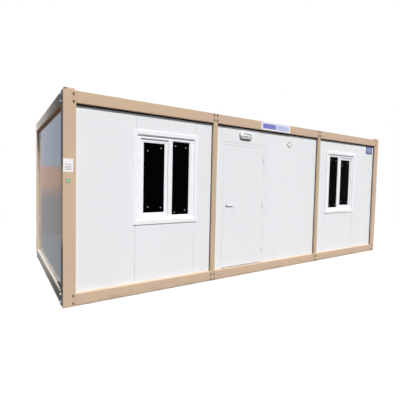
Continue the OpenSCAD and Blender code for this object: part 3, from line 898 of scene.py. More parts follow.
class CABIN_OT_frame(bpy.types.Operator):
    """Build the folded steel posts and rails with their caps and foot plates"""

    bl_idname = "cabin.frame"
    bl_label = "Steel Frame"

    def execute(self, context):
        sizes = context.scene.cabin_sizes
        paint = finish("frame_paint")
        for node in CORNER_POSTS:
            shape = joined(corner_post(node, sizes), lifting_cap(node))
            put(f"{node}_steel", shape, paint, stands_for=[node])
            put(f"{node}_plugs", cap_plugs(node), finish("seal_rubber"))
        for node in MID_POSTS:
            post = mid_post(node, sizes)
            put(f"{node}_steel", post, finish("mid_post_paint"), stands_for=[node])
        for node in TOP_RAILS + BOTTOM_RAILS:
            lengths = [rounded_box(low, high, sizes.steel_round) for low, high in solid_boxes(node)]
            coat = finish(END_RAIL_COATS.get(node, "frame_paint"))
            put(f"{node}_steel", joined(*lengths), coat, stands_for=[node])
        return {"FINISHED"}


# Walls

SEAL_OUT = 0.004
SEAL_END_GAP = 0.002
CORNER_WIDE = 0.007
CORNER_RISE = 0.013
CORNER_ROUND = 0.0004
# Painted shadow at the foot of the left end wall: depth, reach along the wall and height.
FOOT_SHADOW_STRIP = (0.014, 0.42, 0.016)
FOOT_SHADOW_ROUND = 0.003


def seal_and_shade_strip(node, height):
    """Dark strip along the top of a wall, close under the rail, a little proud of the outer face: on the
    long walls partly a seal and partly painted shade of the gap under the rail, on the end walls painted
    shade.
    """
    low, high = corners_of(node)
    along = int(high[1] - low[1] > high[0] - low[0])
    depth = 1 - along
    strip_low = low.copy()
    strip_high = high.copy()
    outward = -1 if (low + high)[depth] < 0 else 1
    face = low[depth] if outward < 0 else high[depth]
    strip_low[depth], strip_high[depth] = sorted((face + outward * SEAL_OUT, face - outward * SEAL_OUT))
    strip_low[along] += SEAL_END_GAP
    strip_high[along] -= SEAL_END_GAP
    strip_low[2] = high[2] - height
    return rounded_box(strip_low, strip_high, SMALL_ROUND)


def corner_seal(node):
    """Dark bead of painted shade in the corner between the right end of a front wall and the flank of its
    post, where the shade falls: a five-sided outline carried up the height of the wall."""
    low, high = corners_of(node)
    right = high[0]
    left = right - CORNER_WIDE
    face = low[1]
    behind = face + SEAL_OUT / 2
    outline = [
        (left, behind), (left, face - SEAL_OUT / 4), (right - CORNER_WIDE / 4, face - CORNER_RISE),
        (right, face - CORNER_RISE), (right, behind),
    ]
    profile, edge = filleted(outline, CORNER_ROUND, steps=2)
    return prism(profile, edge, 2, low[2], high[2])


def foot_shadow_strip():
    """Dark strip of painted shadow, where the front post's shadow falls, that lies on the left bottom rail
    against the foot of the end wall, next to the front post."""
    wall_low, _ = corners_of("left_end_wall")
    _, post_high = corners_of("front_left_post")
    _, rail_high = corners_of("left_bottom_rail")
    depth, reach, tall = FOOT_SHADOW_STRIP
    near = np.array([wall_low[0], post_high[1], rail_high[2]])
    return rounded_box(near - (depth, 0, 0), near + (0, reach, tall), FOOT_SHADOW_ROUND)


class CABIN_OT_walls(bpy.types.Operator):
    """Build the wall panels with folded edges, their strips under the rails of seal and painted shade,
    beads of painted shade in the corners at the posts and strips of painted shadow at the feet of the end
    walls
    """

    bl_idname = "cabin.walls"
    bl_label = "Walls"

    def execute(self, context):
        sizes = context.scene.cabin_sizes
        for node in LONG_WALLS + END_WALLS:
            at_end = node in END_WALLS
            # The end walls take the greyer sheet of painted shade.
            sheet = "end_sheet" if at_end else "wall_sheet"
            panels = [rounded_box(low, high, sizes.panel_round) for low, high in solid_boxes(node)]
            put(f"{node}_panels", joined(*panels), finish(sheet), stands_for=[node])
            # Strip under the rail: on the long walls partly a seal and partly painted shade, on the end
            # walls painted shade in brown.
            strip = seal_and_shade_strip(node, sizes.brown_shade_height if at_end else sizes.seal_and_shade_height)
            put(f"{node}_seal", strip, finish("end_seal" if at_end else "seal_rubber"))
        # Beads of painted shade in the corners at the posts, and the strip of painted shadow at the left
        # end wall's foot; turned for the back.
        beads = joined(foot_shadow_strip(), *[corner_seal(node) for node in FRONT_WALLS])
        put("front_corner_seals", beads, finish("corner_seal"))
        put("back_corner_seals", turned(beads, HALF_TURN), finish("corner_seal"))
        return {"FINISHED"}


# Windows

CASING_CHAMFER = 0.002
CASING_SLOPE = (0.003, 0.002)
BEAD_FALL = 0.006
BEAD_FLAT_SHARE = 0.4
BEAD_FOOT_SHARE = 0.3
SASH_GAP = 0.0015
SASH_STEP = (0.005, 0.004)
SASH_BEAD = 0.013
SASH_BEAD_TOP = (0.010, 0.003)
SASH_BEAD_FOOT = 0.002
GASKET = 0.004
GASKET_SINK = 0.002
GASKET_OUT = 0.002
GASKET_RIM = 0.001
GASKET_ROUND = 0.0005
SHUT_ACROSS = (0.0002, 0.0014)
SHUT_FROM_FACE = 0.006
SHUT_FROM_BACK = 0.010
SHUT_ROUND = 0.0002
DRAIN_SIZE = (0.034, 0.004, 0.007)
DRAIN_ROUND = 0.0018
DRAIN_SHARES = (0.2, 0.8)


def casing_shape(side, sizes):
    """Flat trim with a rounded outer edge, a sloped inner edge and a lip that runs back to the window
    frame."""
    low, high = corners_of(f"{side}_window_casing")
    face = low[1]
    back = high[1]
    wall_face = corners_of(f"front_{side}_wall")[0][1]
    lap = corners_of(f"{side}_window_frame")[0][0] - low[0]
    width = sizes.casing_width
    slope_wide, slope_fall = CASING_SLOPE
    outline = [
        (0, wall_face), (0, face + CASING_CHAMFER), (CASING_CHAMFER, face),
        (width - slope_wide, face), (width, face + slope_fall),
        (width, back), (lap, back), (lap, wall_face),
    ]
    profile, edge = filleted(outline, [0, *[FINE_ROUND] * 4, 0, 0, 0], steps=2)
    return mitred_ring(low[0], high[0], low[2], high[2], profile, edge)


class WindowPlan:
    """Places of one window's parts, from its CAD nodes: outer frame, opening sash and the two panes."""

    def __init__(self, side):
        self.frame = corners_of(f"{side}_window_frame")
        self.sash = corners_of(f"{side}_window_sash")
        panes = solid_boxes(f"{side}_window_glass")
        sash_middle = (self.sash[0] + self.sash[1])[0] / 2
        panes.sort(key=lambda box: abs((box[0] + box[1])[0] / 2 - sash_middle))
        self.sash_pane, self.fixed_pane = panes
        self.light_low = self.sash[0][2]
        self.light_high = self.sash[1][2]
        self.bead = self.fixed_pane[0][2] - self.light_low
        self.fixed_x = (self.fixed_pane[0][0] - self.bead, self.fixed_pane[1][0] + self.bead)
        self.ring = self.light_low - self.frame[0][2]
        inside = (self.frame[0][0] + self.ring, self.frame[1][0] - self.ring)
        sides = sorted((*inside, self.sash[0][0], self.sash[1][0], *self.fixed_x))
        self.posts = [pair for pair in zip(sides[0::2], sides[1::2]) if pair[1] - pair[0] > MERGE]


def window_frame_shape(plan, sizes):
    """Outer ring, posts in what the lights leave free between its sides, and a sloped bead round the fixed
    light."""
    low, high = plan.frame
    face, back = low[1], high[1]
    soft = sizes.plastic_round
    ring, ring_edge = filleted(
        [(0, back), (0, face), (plan.ring, face), (plan.ring, back)], [0, 0, soft, 0]
    )
    posts = []
    for sides in plan.posts:
        outline, edge = filleted(rectangle(*sides, face, back), soft)
        posts.append(prism(outline, edge, 2, plan.light_low, plan.light_high))
    pane_face = plan.fixed_pane[0][1]
    bead_top = pane_face - BEAD_FALL
    bead_foot = pane_face - BEAD_FALL * BEAD_FOOT_SHARE
    bead, bead_edge = filleted(
        [(0, back), (0, bead_top), (plan.bead * BEAD_FLAT_SHARE, bead_top), (plan.bead, bead_foot),
         (plan.bead, back)],
        [0, *[FINE_ROUND] * 3, 0],
    )
    return joined(
        mitred_ring(low[0], high[0], low[2], high[2], ring, ring_edge),
        *posts,
        mitred_ring(*plan.fixed_x, plan.light_low, plan.light_high, bead, bead_edge),
    )


def window_sash_shape(plan):
    """Ring of the opening sash, with a shallow step at its rim and a sloped bead down to the glass."""
    low, high = plan.sash
    face, back = low[1], high[1]
    width = plan.sash_pane[0][0] - low[0]
    pane_face = plan.sash_pane[0][1]
    step_wide, step_fall = SASH_STEP
    top_wide, top_fall = SASH_BEAD_TOP
    outline = [
        (SASH_GAP, back), (SASH_GAP, face + step_fall), (step_wide, face),
        (width - SASH_BEAD, face), (width - top_wide, face + top_fall),
        (width, pane_face - SASH_BEAD_FOOT), (width, back),
    ]
    profile, edge = filleted(outline, [0, FINE_ROUND, SMALL_ROUND, *[FINE_ROUND] * 3, 0])
    return mitred_ring(low[0], high[0], low[2], high[2], profile, edge)


def gasket_shape(plan):
    """Rubber lines where the panes meet their beads and where the sash shuts against the frame."""
    lines = []
    for low, high in (plan.sash_pane, plan.fixed_pane):
        face = low[1]
        behind = face + GASKET_SINK
        profile, edge = filleted(
            [(0, behind), (0, face - GASKET_OUT), (GASKET, face - GASKET_RIM), (GASKET, behind)],
            GASKET_ROUND, steps=2,
        )
        lines.append(mitred_ring(low[0], high[0], low[2], high[2], profile, edge))
    low, high = plan.sash
    shut, shut_edge = filleted(
        rectangle(*SHUT_ACROSS, low[1] + SHUT_FROM_FACE, high[1] - SHUT_FROM_BACK), SHUT_ROUND, steps=1
    )
    lines.append(mitred_ring(low[0], high[0], low[2], high[2], shut, shut_edge))
    return joined(*lines)


def drain_shape(plan):
    """Small hoods over the drain slots in the frame's lower part."""
    low, high = plan.frame
    wide, proud, tall = DRAIN_SIZE
    level = (low[2] + plan.light_low) / 2 + tall
    places = [(low[0] + share * (high[0] - low[0]), low[1], level) for share in DRAIN_SHARES]
    hood = rounded_box((-wide / 2, -proud, -tall), (wide / 2, proud, tall), DRAIN_ROUND)
    return repeated(hood, places)


class CABIN_OT_windows(bpy.types.Operator):
    """Build the casing, frame, sash, gaskets and drain hoods of both windows and finish their glass"""

    bl_idname = "cabin.windows"
    bl_label = "Windows"

    def execute(self, context):
        sizes = context.scene.cabin_sizes
        white = finish("window_white")
        for side in WINDOWS:
            plan = WindowPlan(side)
            casing = f"{side}_window_casing"
            put(f"{casing}_trim", casing_shape(side, sizes), white, stands_for=[casing])
            outer = f"{side}_window_frame"
            put(f"{outer}_bars", window_frame_shape(plan, sizes), white, stands_for=[outer])
            sash = f"{side}_window_sash"
            put(f"{sash}_bars", window_sash_shape(plan), white, stands_for=[sash])
            put(f"{side}_window_gaskets", gasket_shape(plan), finish("seal_rubber"))
            put(f"{side}_window_drains", drain_shape(plan), white)
            dress(f"{side}_window_glass", finish("dark_glass"))
        return {"FINISHED"}


# Door

JOINTS = {joint["name"]: np.array(joint["pos_m"]) for joint in frame["joints"]}
STOP_IN = 0.020
STOP_THICK = 0.013
JAMB = 0.050
LEAF_GAP = 0.005
LEAF_SET = 0.001
LEAF_BEVEL = 0.003
LIP_SET = 0.002
LIP_DEEP = 0.012
LIP_SPARE = 0.0008
RUBBER_ROUND = 0.0008
STOP_SEAL_FOOT = 0.004
STOP_SEAL_TOP = 0.003
STOP_SEAL_RISE = 0.002
KNUCKLE_ROUND = 0.0055
KNUCKLE_EASE = 0.0012
FLAP_LONG = 0.032
FLAP_THICK = 0.003
FLAP_ROUND = 0.0012
FLAP_SCREW_ALONG = 0.68
FLAP_SCREW_SHARES = (0.25, 0.75)
FIT = 0.0003
SCREW_ROUND = 0.003
SCREW_TOP_SHARE = 0.7
SCREW_RISES = (0.0006, 0.0014, 0.0018)
SCREW_SIDES = 16
LOCK_THICK = 0.005
LOCK_END_SHARE = 0.49
LOCK_TAPER = 0.0012
LOCK_SCREW_IN = 0.016
KEY_DROP = 0.085
KEY_ROUND = 0.0085
KEY_TOP_ROUND = 0.0072
KEY_RISES = (0.003, 0.004)
LEVER_THICK = 0.010
LEVER_IN = 0.007
LEVER_SAG = 0.003
LEVER_POINTS = 41
LEVER_SIDES = 20
LEVER_POWER = 0.75
SHAFT_ROUND = 0.006
COLLAR_ROUND = 0.011
COLLAR_THICK = 0.006
COLLAR_EDGE = (0.85, 0.7)
# Dark dome below the lever's root: partly a keyhole and partly the root's shadow painted in.
ROOT_SHADOW_FROM_SPINDLE = (-0.009, -0.019)
ROOT_SHADOW_ROUND = 0.009
ROOT_SHADOW_OUT = 0.005
ROOT_SHADOW_POINTS = 6
RIB_COUNT = 6
RIB_DEEP = 0.0015
RIB_POINTS = 8
RIB_MARGIN = 0.002


def door_frame_shape(sizes):
    """Jambs and head with the stop behind the leaf: a stepped profile carried up, over and down."""
    low, high = corners_of("door_frame")
    face = low[1]
    back = high[1]
    stop = back - STOP_THICK
    outline = [
        (0, back), (0, face), (JAMB, face), (JAMB, stop), (JAMB + STOP_IN, stop), (JAMB + STOP_IN, back),
    ]
    soft = sizes.plastic_round
    profile, edge = filleted(outline, [0, soft, soft, FINE_ROUND, SMALL_ROUND, SMALL_ROUND])
    return mitred_arch(low[0], high[0], low[2], high[2], profile, edge)


def door_seal_shape():
    """Rubber bead on the stop, carried round with the frame."""
    low, high = corners_of("door_frame")
    stop = high[1] - STOP_THICK
    middle = JAMB + STOP_IN / 2
    profile, edge = filleted(
        [(middle - STOP_SEAL_FOOT, stop + TUCK), (middle - STOP_SEAL_TOP, stop - STOP_SEAL_RISE),
         (middle + STOP_SEAL_TOP, stop - STOP_SEAL_RISE), (middle + STOP_SEAL_FOOT, stop + TUCK)],
        RUBBER_ROUND, steps=2,
    )
    return mitred_arch(low[0], high[0], low[2], high[2], profile, edge)


def door_lip_shape():
    """Pale rubber lip on the inner faces of the jambs and head, which fills the gap round the leaf but for
    a slit."""
    low, high = corners_of("door_frame")
    face = low[1] + LIP_SET
    reach = JAMB + LEAF_GAP - LIP_SPARE
    outline = rectangle(JAMB - LIP_SPARE, reach, face, face + LIP_DEEP)
    profile, edge = filleted(outline, RUBBER_ROUND, steps=2)
    return mitred_arch(low[0], high[0], low[2], high[2], profile, edge)


def leaf_box():
    """Lowest and highest corner of the leaf without its knuckles: it lies a hair behind the face of the
    frame and ends one gap from the hinge jamb."""
    low, high = corners_of("door_leaf")
    frame_low, frame_high = corners_of("door_frame")
    low[1] = frame_low[1] + LEAF_SET
    high[0] = frame_high[0] - JAMB - LEAF_GAP
    return low, high


def leaf_shape(sizes):
    """Leaf with its free edge bevelled towards the back, so that the back corner swings clear of the
    lip."""
    low, high = leaf_box()
    outline = [(low[0], low[1]), (high[0], low[1]), (high[0], high[1]), (low[0] + LEAF_BEVEL, high[1])]
    profile, edge = filleted(outline, sizes.plastic_round)
    return prism(profile, edge, 2, low[2], high[2])


def knuckle(length_up):
    """Hinge barrel with eased rims, turned about the upright axis."""
    rim = KNUCKLE_ROUND - KNUCKLE_EASE
    profile = [
        (0, 0), (rim, 0), (KNUCKLE_ROUND, KNUCKLE_EASE),
        (KNUCKLE_ROUND, length_up - KNUCKLE_EASE), (rim, length_up), (0, length_up),
    ]
    return revolved(profile, TURNED_SIDES, axis=2)


def screw_head():
    """Low domed head that faces the front: its rim rises straight and then draws in to the middle in two
    steps."""
    rim_rise, top_rise, middle_rise = SCREW_RISES
    profile = [
        (SCREW_ROUND, 0), (SCREW_ROUND, -rim_rise), (SCREW_ROUND * SCREW_TOP_SHARE, -top_rise),
        (0, -middle_rise),
    ]
    return revolved(profile, SCREW_SIDES)


def hinge_half(base, tall, side, face):
    """Knuckle, arm and flap with two screws: base is the foot of the knuckle on the pin line, side is the
    way that the flap reaches, and face is the depth of what it is screwed to."""
    x, y, z = base
    arm_x = sorted((x, x + side * KNUCKLE_ROUND))
    flap_x = sorted((x + side * LEAF_GAP / 2, x + side * FLAP_LONG))
    front = face - FLAP_THICK
    arm = rounded_box((arm_x[0], y, z), (arm_x[1], face, z + tall), FINE_ROUND)
    flap = rounded_box((flap_x[0], front, z), (flap_x[1], face, z + tall), FLAP_ROUND)
    screw_x = x + side * FLAP_LONG * FLAP_SCREW_ALONG
    screws = [(screw_x, front, z + tall * share) for share in FLAP_SCREW_SHARES]
    return joined(moved(knuckle(tall), base), arm, flap, repeated(screw_head(), screws))


def hinge_shapes():
    """Lower halves with their pins, on the jamb, and upper halves, on the leaf."""
    pin_x, pin_y, _ = JOINTS["door_swing"]
    jamb_face = corners_of("door_frame")[0][1]
    leaf_face = leaf_box()[0][1]
    lower = []
    upper = []
    for low, high in solid_boxes("door_hinges"):
        tall = (high[2] - low[2] - FIT) / 2
        lower.append(hinge_half((pin_x, pin_y, low[2]), tall, 1, jamb_face))
        upper.append(hinge_half((pin_x, pin_y, low[2] + tall + FIT), tall, -1, leaf_face))
    return joined(*lower), joined(*upper)


def lock_plate_shape():
    """Long plate with round ends and tapered rim, a key cylinder and two screws, on the front face of the
    leaf; the same turned half round stands on the back face."""
    spindle = JOINTS["handle_turn"]
    plates = solid_boxes("door_lock_plates")
    front_low, front_high = min(plates, key=lambda box: box[0][1])
    leaf_low, leaf_high = leaf_box()
    width = front_high[0] - front_low[0]
    bottom = front_low[2]
    top = front_high[2]
    sides = rectangle(-width / 2, width / 2, bottom, top)
    outline, _ = filleted(sides, width * LOCK_END_SHARE, ROUND_STEPS)
    thick = LOCK_THICK
    depths = np.array([0, -(thick - LOCK_TAPER), -thick])
    shrink = np.array([0, 0, LOCK_TAPER])[:, None, None] / (width / 2)
    middle = np.array([0, (bottom + top) / 2])
    flat = middle + (outline - middle) * (1 - shrink * np.array([1, width / (top - bottom)]))
    points = np.insert(flat, 1, np.broadcast_to(depths[:, None], flat.shape[:2]), axis=2)
    rows, count, _ = points.shape
    plate = Surface(points, grid_quads(rows, count, wrap_columns=True), end_caps(rows, count))
    key_rim, key_top = (-thick - rise for rise in KEY_RISES)
    key_profile = [(KEY_ROUND, 0), (KEY_ROUND, key_rim), (KEY_TOP_ROUND, key_top), (0, key_top)]
    key = revolved(key_profile, TURNED_SIDES)
    screws = [(0, -thick, bottom + LOCK_SCREW_IN), (0, -thick, top - LOCK_SCREW_IN)]
    front = joined(plate, moved(key, (0, 0, spindle[2] - KEY_DROP)), repeated(screw_head(), screws))
    return joined(
        moved(front, (spindle[0], leaf_low[1], 0)),
        moved(turned(front, HALF_TURN), (spindle[0], leaf_high[1], 0)),
    )


def root_shadow_dome():
    """Dark low dome on the front lock plate below the lever's root, partly a keyhole and partly the root's
    shadow painted in: turned about the front axis."""
    spindle = JOINTS["handle_turn"]
    face = leaf_box()[0][1] - LOCK_THICK
    rise = np.linspace(0, np.pi / 2, ROOT_SHADOW_POINTS)
    profile = np.stack([ROOT_SHADOW_ROUND * np.cos(rise), -ROOT_SHADOW_OUT * np.sin(rise)], -1)
    button = revolved(np.concatenate([[(0, TUCK), (ROOT_SHADOW_ROUND, TUCK)], profile]), TURNED_SIDES)
    return moved(button, (spindle[0] + ROOT_SHADOW_FROM_SPINDLE[0], face, spindle[2] + ROOT_SHADOW_FROM_SPINDLE[1]))


def lever_shape(depth, spindle, reach, tall, thick):
    """Bar that leaves the spindle and runs along the leaf: an oval section carried along a line that sags
    slightly by a squared sine, drawn in like half circles at both ends."""
    share = (1 - np.cos(np.linspace(0, np.pi, LEVER_POINTS))) / 2
    along = -tall / 2 + share * (reach + tall / 2)
    path = np.stack([
        spindle[0] + along,
        np.full_like(along, depth),
        spindle[2] - LEVER_SAG * np.sin(np.pi * share) ** 2,
    ], -1)
    from_end = np.minimum(along + tall / 2, reach - along)
    size = np.sqrt(np.clip(1 - (1 - np.clip(from_end / (tall / 2), 0, 1)) ** 2, 0, 1))
    angle = np.arange(LEVER_SIDES) * 2 * np.pi / LEVER_SIDES
    section = np.stack([
        thick / 2 * np.sign(np.cos(angle)) * np.abs(np.cos(angle)) ** LEVER_POWER,
        tall / 2 * np.sign(np.sin(angle)) * np.abs(np.sin(angle)) ** LEVER_POWER,
    ], -1)
    return carried(path, section, size)


def handle_shapes():
    """Spindle with a lever on each end, and the dark collars where it enters the lock plates."""
    low, high = corners_of("door_handle")
    spindle = JOINTS["handle_turn"]
    tall = high[2] - low[2]
    thick = LEVER_THICK
    reach = high[0] - spindle[0]
    front = low[1] + LEVER_IN + thick / 2
    back = high[1] - LEVER_IN - thick / 2
    shaft_profile = [(0, front), (SHAFT_ROUND, front), (SHAFT_ROUND, back), (0, back)]
    bars = joined(
        moved(revolved(shaft_profile, TURNED_SIDES), (spindle[0], 0, spindle[2])),
        lever_shape(front, spindle, reach, tall, thick), lever_shape(back, spindle, reach, tall, thick),
    )
    leaf_low, leaf_high = leaf_box()
    top_share, rise_share = COLLAR_EDGE
    collar_profile = [
        (SHAFT_ROUND, 0), (COLLAR_ROUND, 0), (COLLAR_ROUND, -COLLAR_THICK * rise_share),
        (COLLAR_ROUND * top_share, -COLLAR_THICK), (SHAFT_ROUND, -COLLAR_THICK),
    ]
    collar = revolved(collar_profile, TURNED_SIDES)
    seat = LOCK_THICK + FIT
    collars = joined(
        moved(collar, (spindle[0], leaf_low[1] - seat, spindle[2])),
        moved(turned(collar, HALF_TURN), (spindle[0], leaf_high[1] + seat, spindle[2])),
    )
    return bars, collars


def threshold_shape():
    """Ribbed strip: the top of its section dips between ribs by a cosine, and is carried along the
    doorway."""
    low, high = corners_of("door_threshold")
    share = np.linspace(0, 1, RIB_COUNT * RIB_POINTS + 1)
    depth = np.interp(share, (0, 1), (low[1] + RIB_MARGIN, high[1] - RIB_MARGIN))
    top = high[2] - RIB_DEEP * (1 - np.cos(2 * np.pi * RIB_COUNT * share)) / 2
    rim = high[2] - RIB_MARGIN
    corners = [(high[1], rim), (high[1], low[2]), (low[1], low[2]), (low[1], rim)]
    outline = np.concatenate([np.stack([depth, top], -1), np.array(corners)])
    return prism(outline, np.zeros(len(outline)), 0, low[0], high[0])


class CABIN_OT_door(bpy.types.Operator):
    """Build the door frame, seal, leaf, hinges, lock plates, handle and threshold"""

    bl_idname = "cabin.door"
    bl_label = "Door"

    def execute(self, context):
        sizes = context.scene.cabin_sizes
        white = finish("door_white")
        put("door_frame_bars", door_frame_shape(sizes), white, stands_for=["door_frame"])
        put("door_frame_seal", door_seal_shape(), finish("seal_rubber"))
        put("door_frame_lip", door_lip_shape(), white)
        put("door_leaf_sheet", leaf_shape(sizes), white, "door", ["door_leaf"])
        lower, upper = hinge_shapes()
        put("door_hinges_lower", lower, white, stands_for=["door_hinges"])
        put("door_hinges_upper", upper, white, "door")
        plates = lock_plate_shape()
        put("door_lock_plates_metal", plates, white, "door", ["door_lock_plates"])
        # Dark dome of painted shadow under the lever's root, partly a keyhole.
        put("door_lock_snib", root_shadow_dome(), finish("seal_rubber"), "door")
        bars, collars = handle_shapes()
        put("door_handle_levers", bars, finish("handle_white"), "handle", ["door_handle"])
        put("door_handle_collars", collars, finish("seal_rubber"), "handle")
        strip = threshold_shape()
        metal = finish("threshold_metal")
        put("door_threshold_strip", strip, metal, stands_for=["door_threshold"])
        return {"FINISHED"}


# Lamp

LAMP_PLATE = 0.008
LAMP_TRIM = 0.010
LAMP_LIFT = 0.006
LAMP_ROWS = 24
HOOD_IN = 0.005
LAMP_ROUNDS = np.array([0.050, 0.050, 0.034, 0.034])
LENS_MARGIN = 0.010
HOOD_LIP = 0.006
HOOD_DROP = 0.008
LAMP_POWER = 4.5
# Grey line of painted shade across the lamp's hood: where along it runs, how far below the top, its height,
# how far it stands off and its points.
SHADE_LINE_SHARES = (0.30, 0.90)
SHADE_LINE_DROPS = (0.008, 0.020)
SHADE_LINE_TALL = 0.013
SHADE_LINE_PROUD = 0.002
SHADE_LINE_POINTS = 25


def lamp_outline(inset):
    """Outline of the lamp with its larger lower corners, drawn in by an inset; it is trimmed a little at
    the left and stands a little high."""
    low, high = corners_of("lamp_body") + np.array([0, 0, LAMP_LIFT])
    low[0] += LAMP_TRIM
    sides = rectangle(low[0] + inset, high[0] - inset, low[2] + inset, high[2] - inset)
    return filleted(sides, LAMP_ROUNDS - inset, ROUND_STEPS)[0]


def lamp_shapes():
    """Back plate with rounded corners, a pillow-shaped lens and an eyelid hood: the same pillow, a little
    larger and deeper, with everything under the hood's edge pressed up to that edge."""
    low, high = corners_of("lamp_body")
    hood_edge = corners_of("lamp_lens")[1][2] - HOOD_DROP
    face = high[1] - LAMP_PLATE
    out = face - low[1]
    plate = lamp_outline(0)
    base = prism(plate, np.zeros(len(plate)), 1, face, high[1])
    lens = dome(lamp_outline(LENS_MARGIN), face, out - HOOD_LIP, LAMP_POWER, LAMP_ROWS)
    hood = dome(lamp_outline(HOOD_IN), face, out, LAMP_POWER, LAMP_ROWS)
    hood.points[:, 2] = np.maximum(hood.points[:, 2], hood_edge)
    return base, hood, lens


def on_pillow(place, outline, back, out):
    """Depth of the lamp's pillow at places of (across, up): their distance from the middle over that of the
    outline in the same direction is the share of the way to the rim."""
    middle = (outline.min(0) + outline.max(0)) / 2
    offset = place - middle
    rim = outline - middle
    heading = np.arctan2(offset[:, 1], offset[:, 0])
    rim_heading = np.arctan2(rim[:, 1], rim[:, 0])
    reach = np.interp(heading, rim_heading, np.linalg.norm(rim, axis=1), period=2 * np.pi)
    share = np.clip(np.linalg.norm(offset, axis=1) / reach, 0, 1)
    return back - pillow_rise(share, out, LAMP_POWER)


def hood_shade_line():
    """Grey line of painted shade that slants down across the hood to its right end: a strip with its points
    on the pillow of the hood, lifted off it by a hair, and closed behind by the same strip sunk into the
    hood."""
    low, high = corners_of("lamp_body")
    outline = lamp_outline(HOOD_IN)
    back = high[1] - LAMP_PLATE
    share = np.linspace(*SHADE_LINE_SHARES, SHADE_LINE_POINTS)
    across = low[0] + share * (high[0] - low[0])
    upper = outline[:, 1].max() - np.interp(share, SHADE_LINE_SHARES, SHADE_LINE_DROPS)
    rims = []
    for lift in (SHADE_LINE_PROUD, -LAMP_PLATE / 2):
        for up in (upper, upper - SHADE_LINE_TALL):
            place = np.stack([across, up], -1)
            rims.append(np.insert(place, 1, on_pillow(place, outline, back, back - low[1]) - lift, axis=1))
    loop = np.stack([rims[0], rims[1], rims[3], rims[2]], 1)
    rows, count, _ = loop.shape
    return Surface(loop, grid_quads(rows, count, wrap_columns=True), end_caps(rows, count))


class CABIN_OT_lamp(bpy.types.Operator):
    """Build the lamp over the door: back plate with an eyelid hood, lens and a grey line of painted shade
    across the hood
    """

    bl_idname = "cabin.lamp"
    bl_label = "Lamp"

    def execute(self, context):
        base, hood, lens = lamp_shapes()
        put("lamp_body_hood", hood, finish("lamp_white"), stands_for=["lamp_body"])
        put("lamp_body_plate", base, finish("plate_grey"))
        put("lamp_lens_dome", lens, finish("frosted_lens"), stands_for=["lamp_lens"])
        put("lamp_vent_slot", hood_shade_line(), finish("vent_grey"))
        return {"FINISHED"}


# Roof and floor

class CABIN_OT_decks(bpy.types.Operator):
    """Finish the roof sheet, ceiling, floor deck and joists"""

    bl_idname = "cabin.decks"
    bl_label = "Roof and Floor"

    def execute(self, context):
        dress("roof_sheet", finish("roof_zinc"))
        dress("ceiling", finish("ceiling_sheet"))
        dress("floor_deck", finish("floor_board"))
        dress("floor_joists", finish("joist_zinc"))
        return {"FINISHED"}


# Bolts

POST_BOLT_IN = 0.029
POST_BOLT_DOWN = (0.035, 0.125)
POST_BOLT_UP = (0.036, 0.134)
MID_BOLT_HALF = 0.029
MID_BOLT_DOWN = (0.021, 0.102)
MID_BOLT_UP = (0.018, 0.100)
WASHER_THICK = 0.0025
WASHER_EDGE = (0.94, 0.7)
WASHER_SIDES = 20
HEAD_TOP_SHARE = 0.84
HEAD_CHAMFER = 0.0015
HEAD_SIDES = 6


def bolt_shape(sizes):
    """Washer and six-sided head with a chamfered top, standing out to the front."""
    washer = chamfered_disc(sizes.washer_round, WASHER_THICK, WASHER_EDGE, TUCK, WASHER_SIDES)
    top = -WASHER_THICK - sizes.head_height
    head = revolved([
        (0, -WASHER_THICK), (sizes.head_round, -WASHER_THICK), (sizes.head_round, top + HEAD_CHAMFER),
        (sizes.head_round * HEAD_TOP_SHARE, top), (0, top),
    ], HEAD_SIDES)
    return joined(washer, head)


def bolt_places():
    """Places (along, up) of the bolts on a long side and on an end, along from the middle of that side and
    up from the ground."""
    low, high = corners_of("front_left_post")
    mid_low, mid_high = corners_of("front_left_mid_post")
    top = high[2] - CAP_HEIGHT
    foot = low[2] + FOOT_THICK
    post_levels = [top - down for down in POST_BOLT_DOWN] + [foot + up for up in POST_BOLT_UP]
    mid_levels = [top - down for down in MID_BOLT_DOWN] + [foot + up for up in MID_BOLT_UP]
    post_x = high[0] - POST_BOLT_IN
    post_y = high[1] - POST_BOLT_IN
    mid_x = (mid_low[0] + mid_high[0]) / 2
    mids = [mid_x - MID_BOLT_HALF, mid_x + MID_BOLT_HALF]
    long_side = [(side * post_x, z) for side in (1, -1) for z in post_levels]
    long_side += [(side * x, z) for side in (1, -1) for x in mids for z in mid_levels]
    end_side = [(side * post_y, z) for side in (1, -1) for z in post_levels]
    return long_side, end_side


class CABIN_OT_bolts(bpy.types.Operator):
    """Add the bolts on the corner and middle posts"""

    bl_idname = "cabin.bolts"
    bl_label = "Bolts"

    def execute(self, context):
        bolt = bolt_shape(context.scene.cabin_sizes)
        long_side, end_side = bolt_places()
        half_long = CAD_BOX[1][0]
        half_wide = CAD_BOX[1][1]
        long_row = repeated(bolt, [(x, -half_wide, z) for x, z in long_side])
        end_row = repeated(bolt, [(y, -half_long, z) for y, z in end_side])
        # The long sides' bolts take the darker copy of the zinc, which paints shade on them.
        rows = (
            ("front_bolts", long_row, "bolt_dull"), ("right_bolts", end_row, "bolt_zinc"),
            ("back_bolts", long_row, "bolt_dull"), ("left_bolts", end_row, "bolt_zinc"),
        )
        for quarter_turns, (name, row, coat) in enumerate(rows):
            put(name, turned(row, quarter_turns), finish(coat))
        return {"FINISHED"}


# Plates and labels

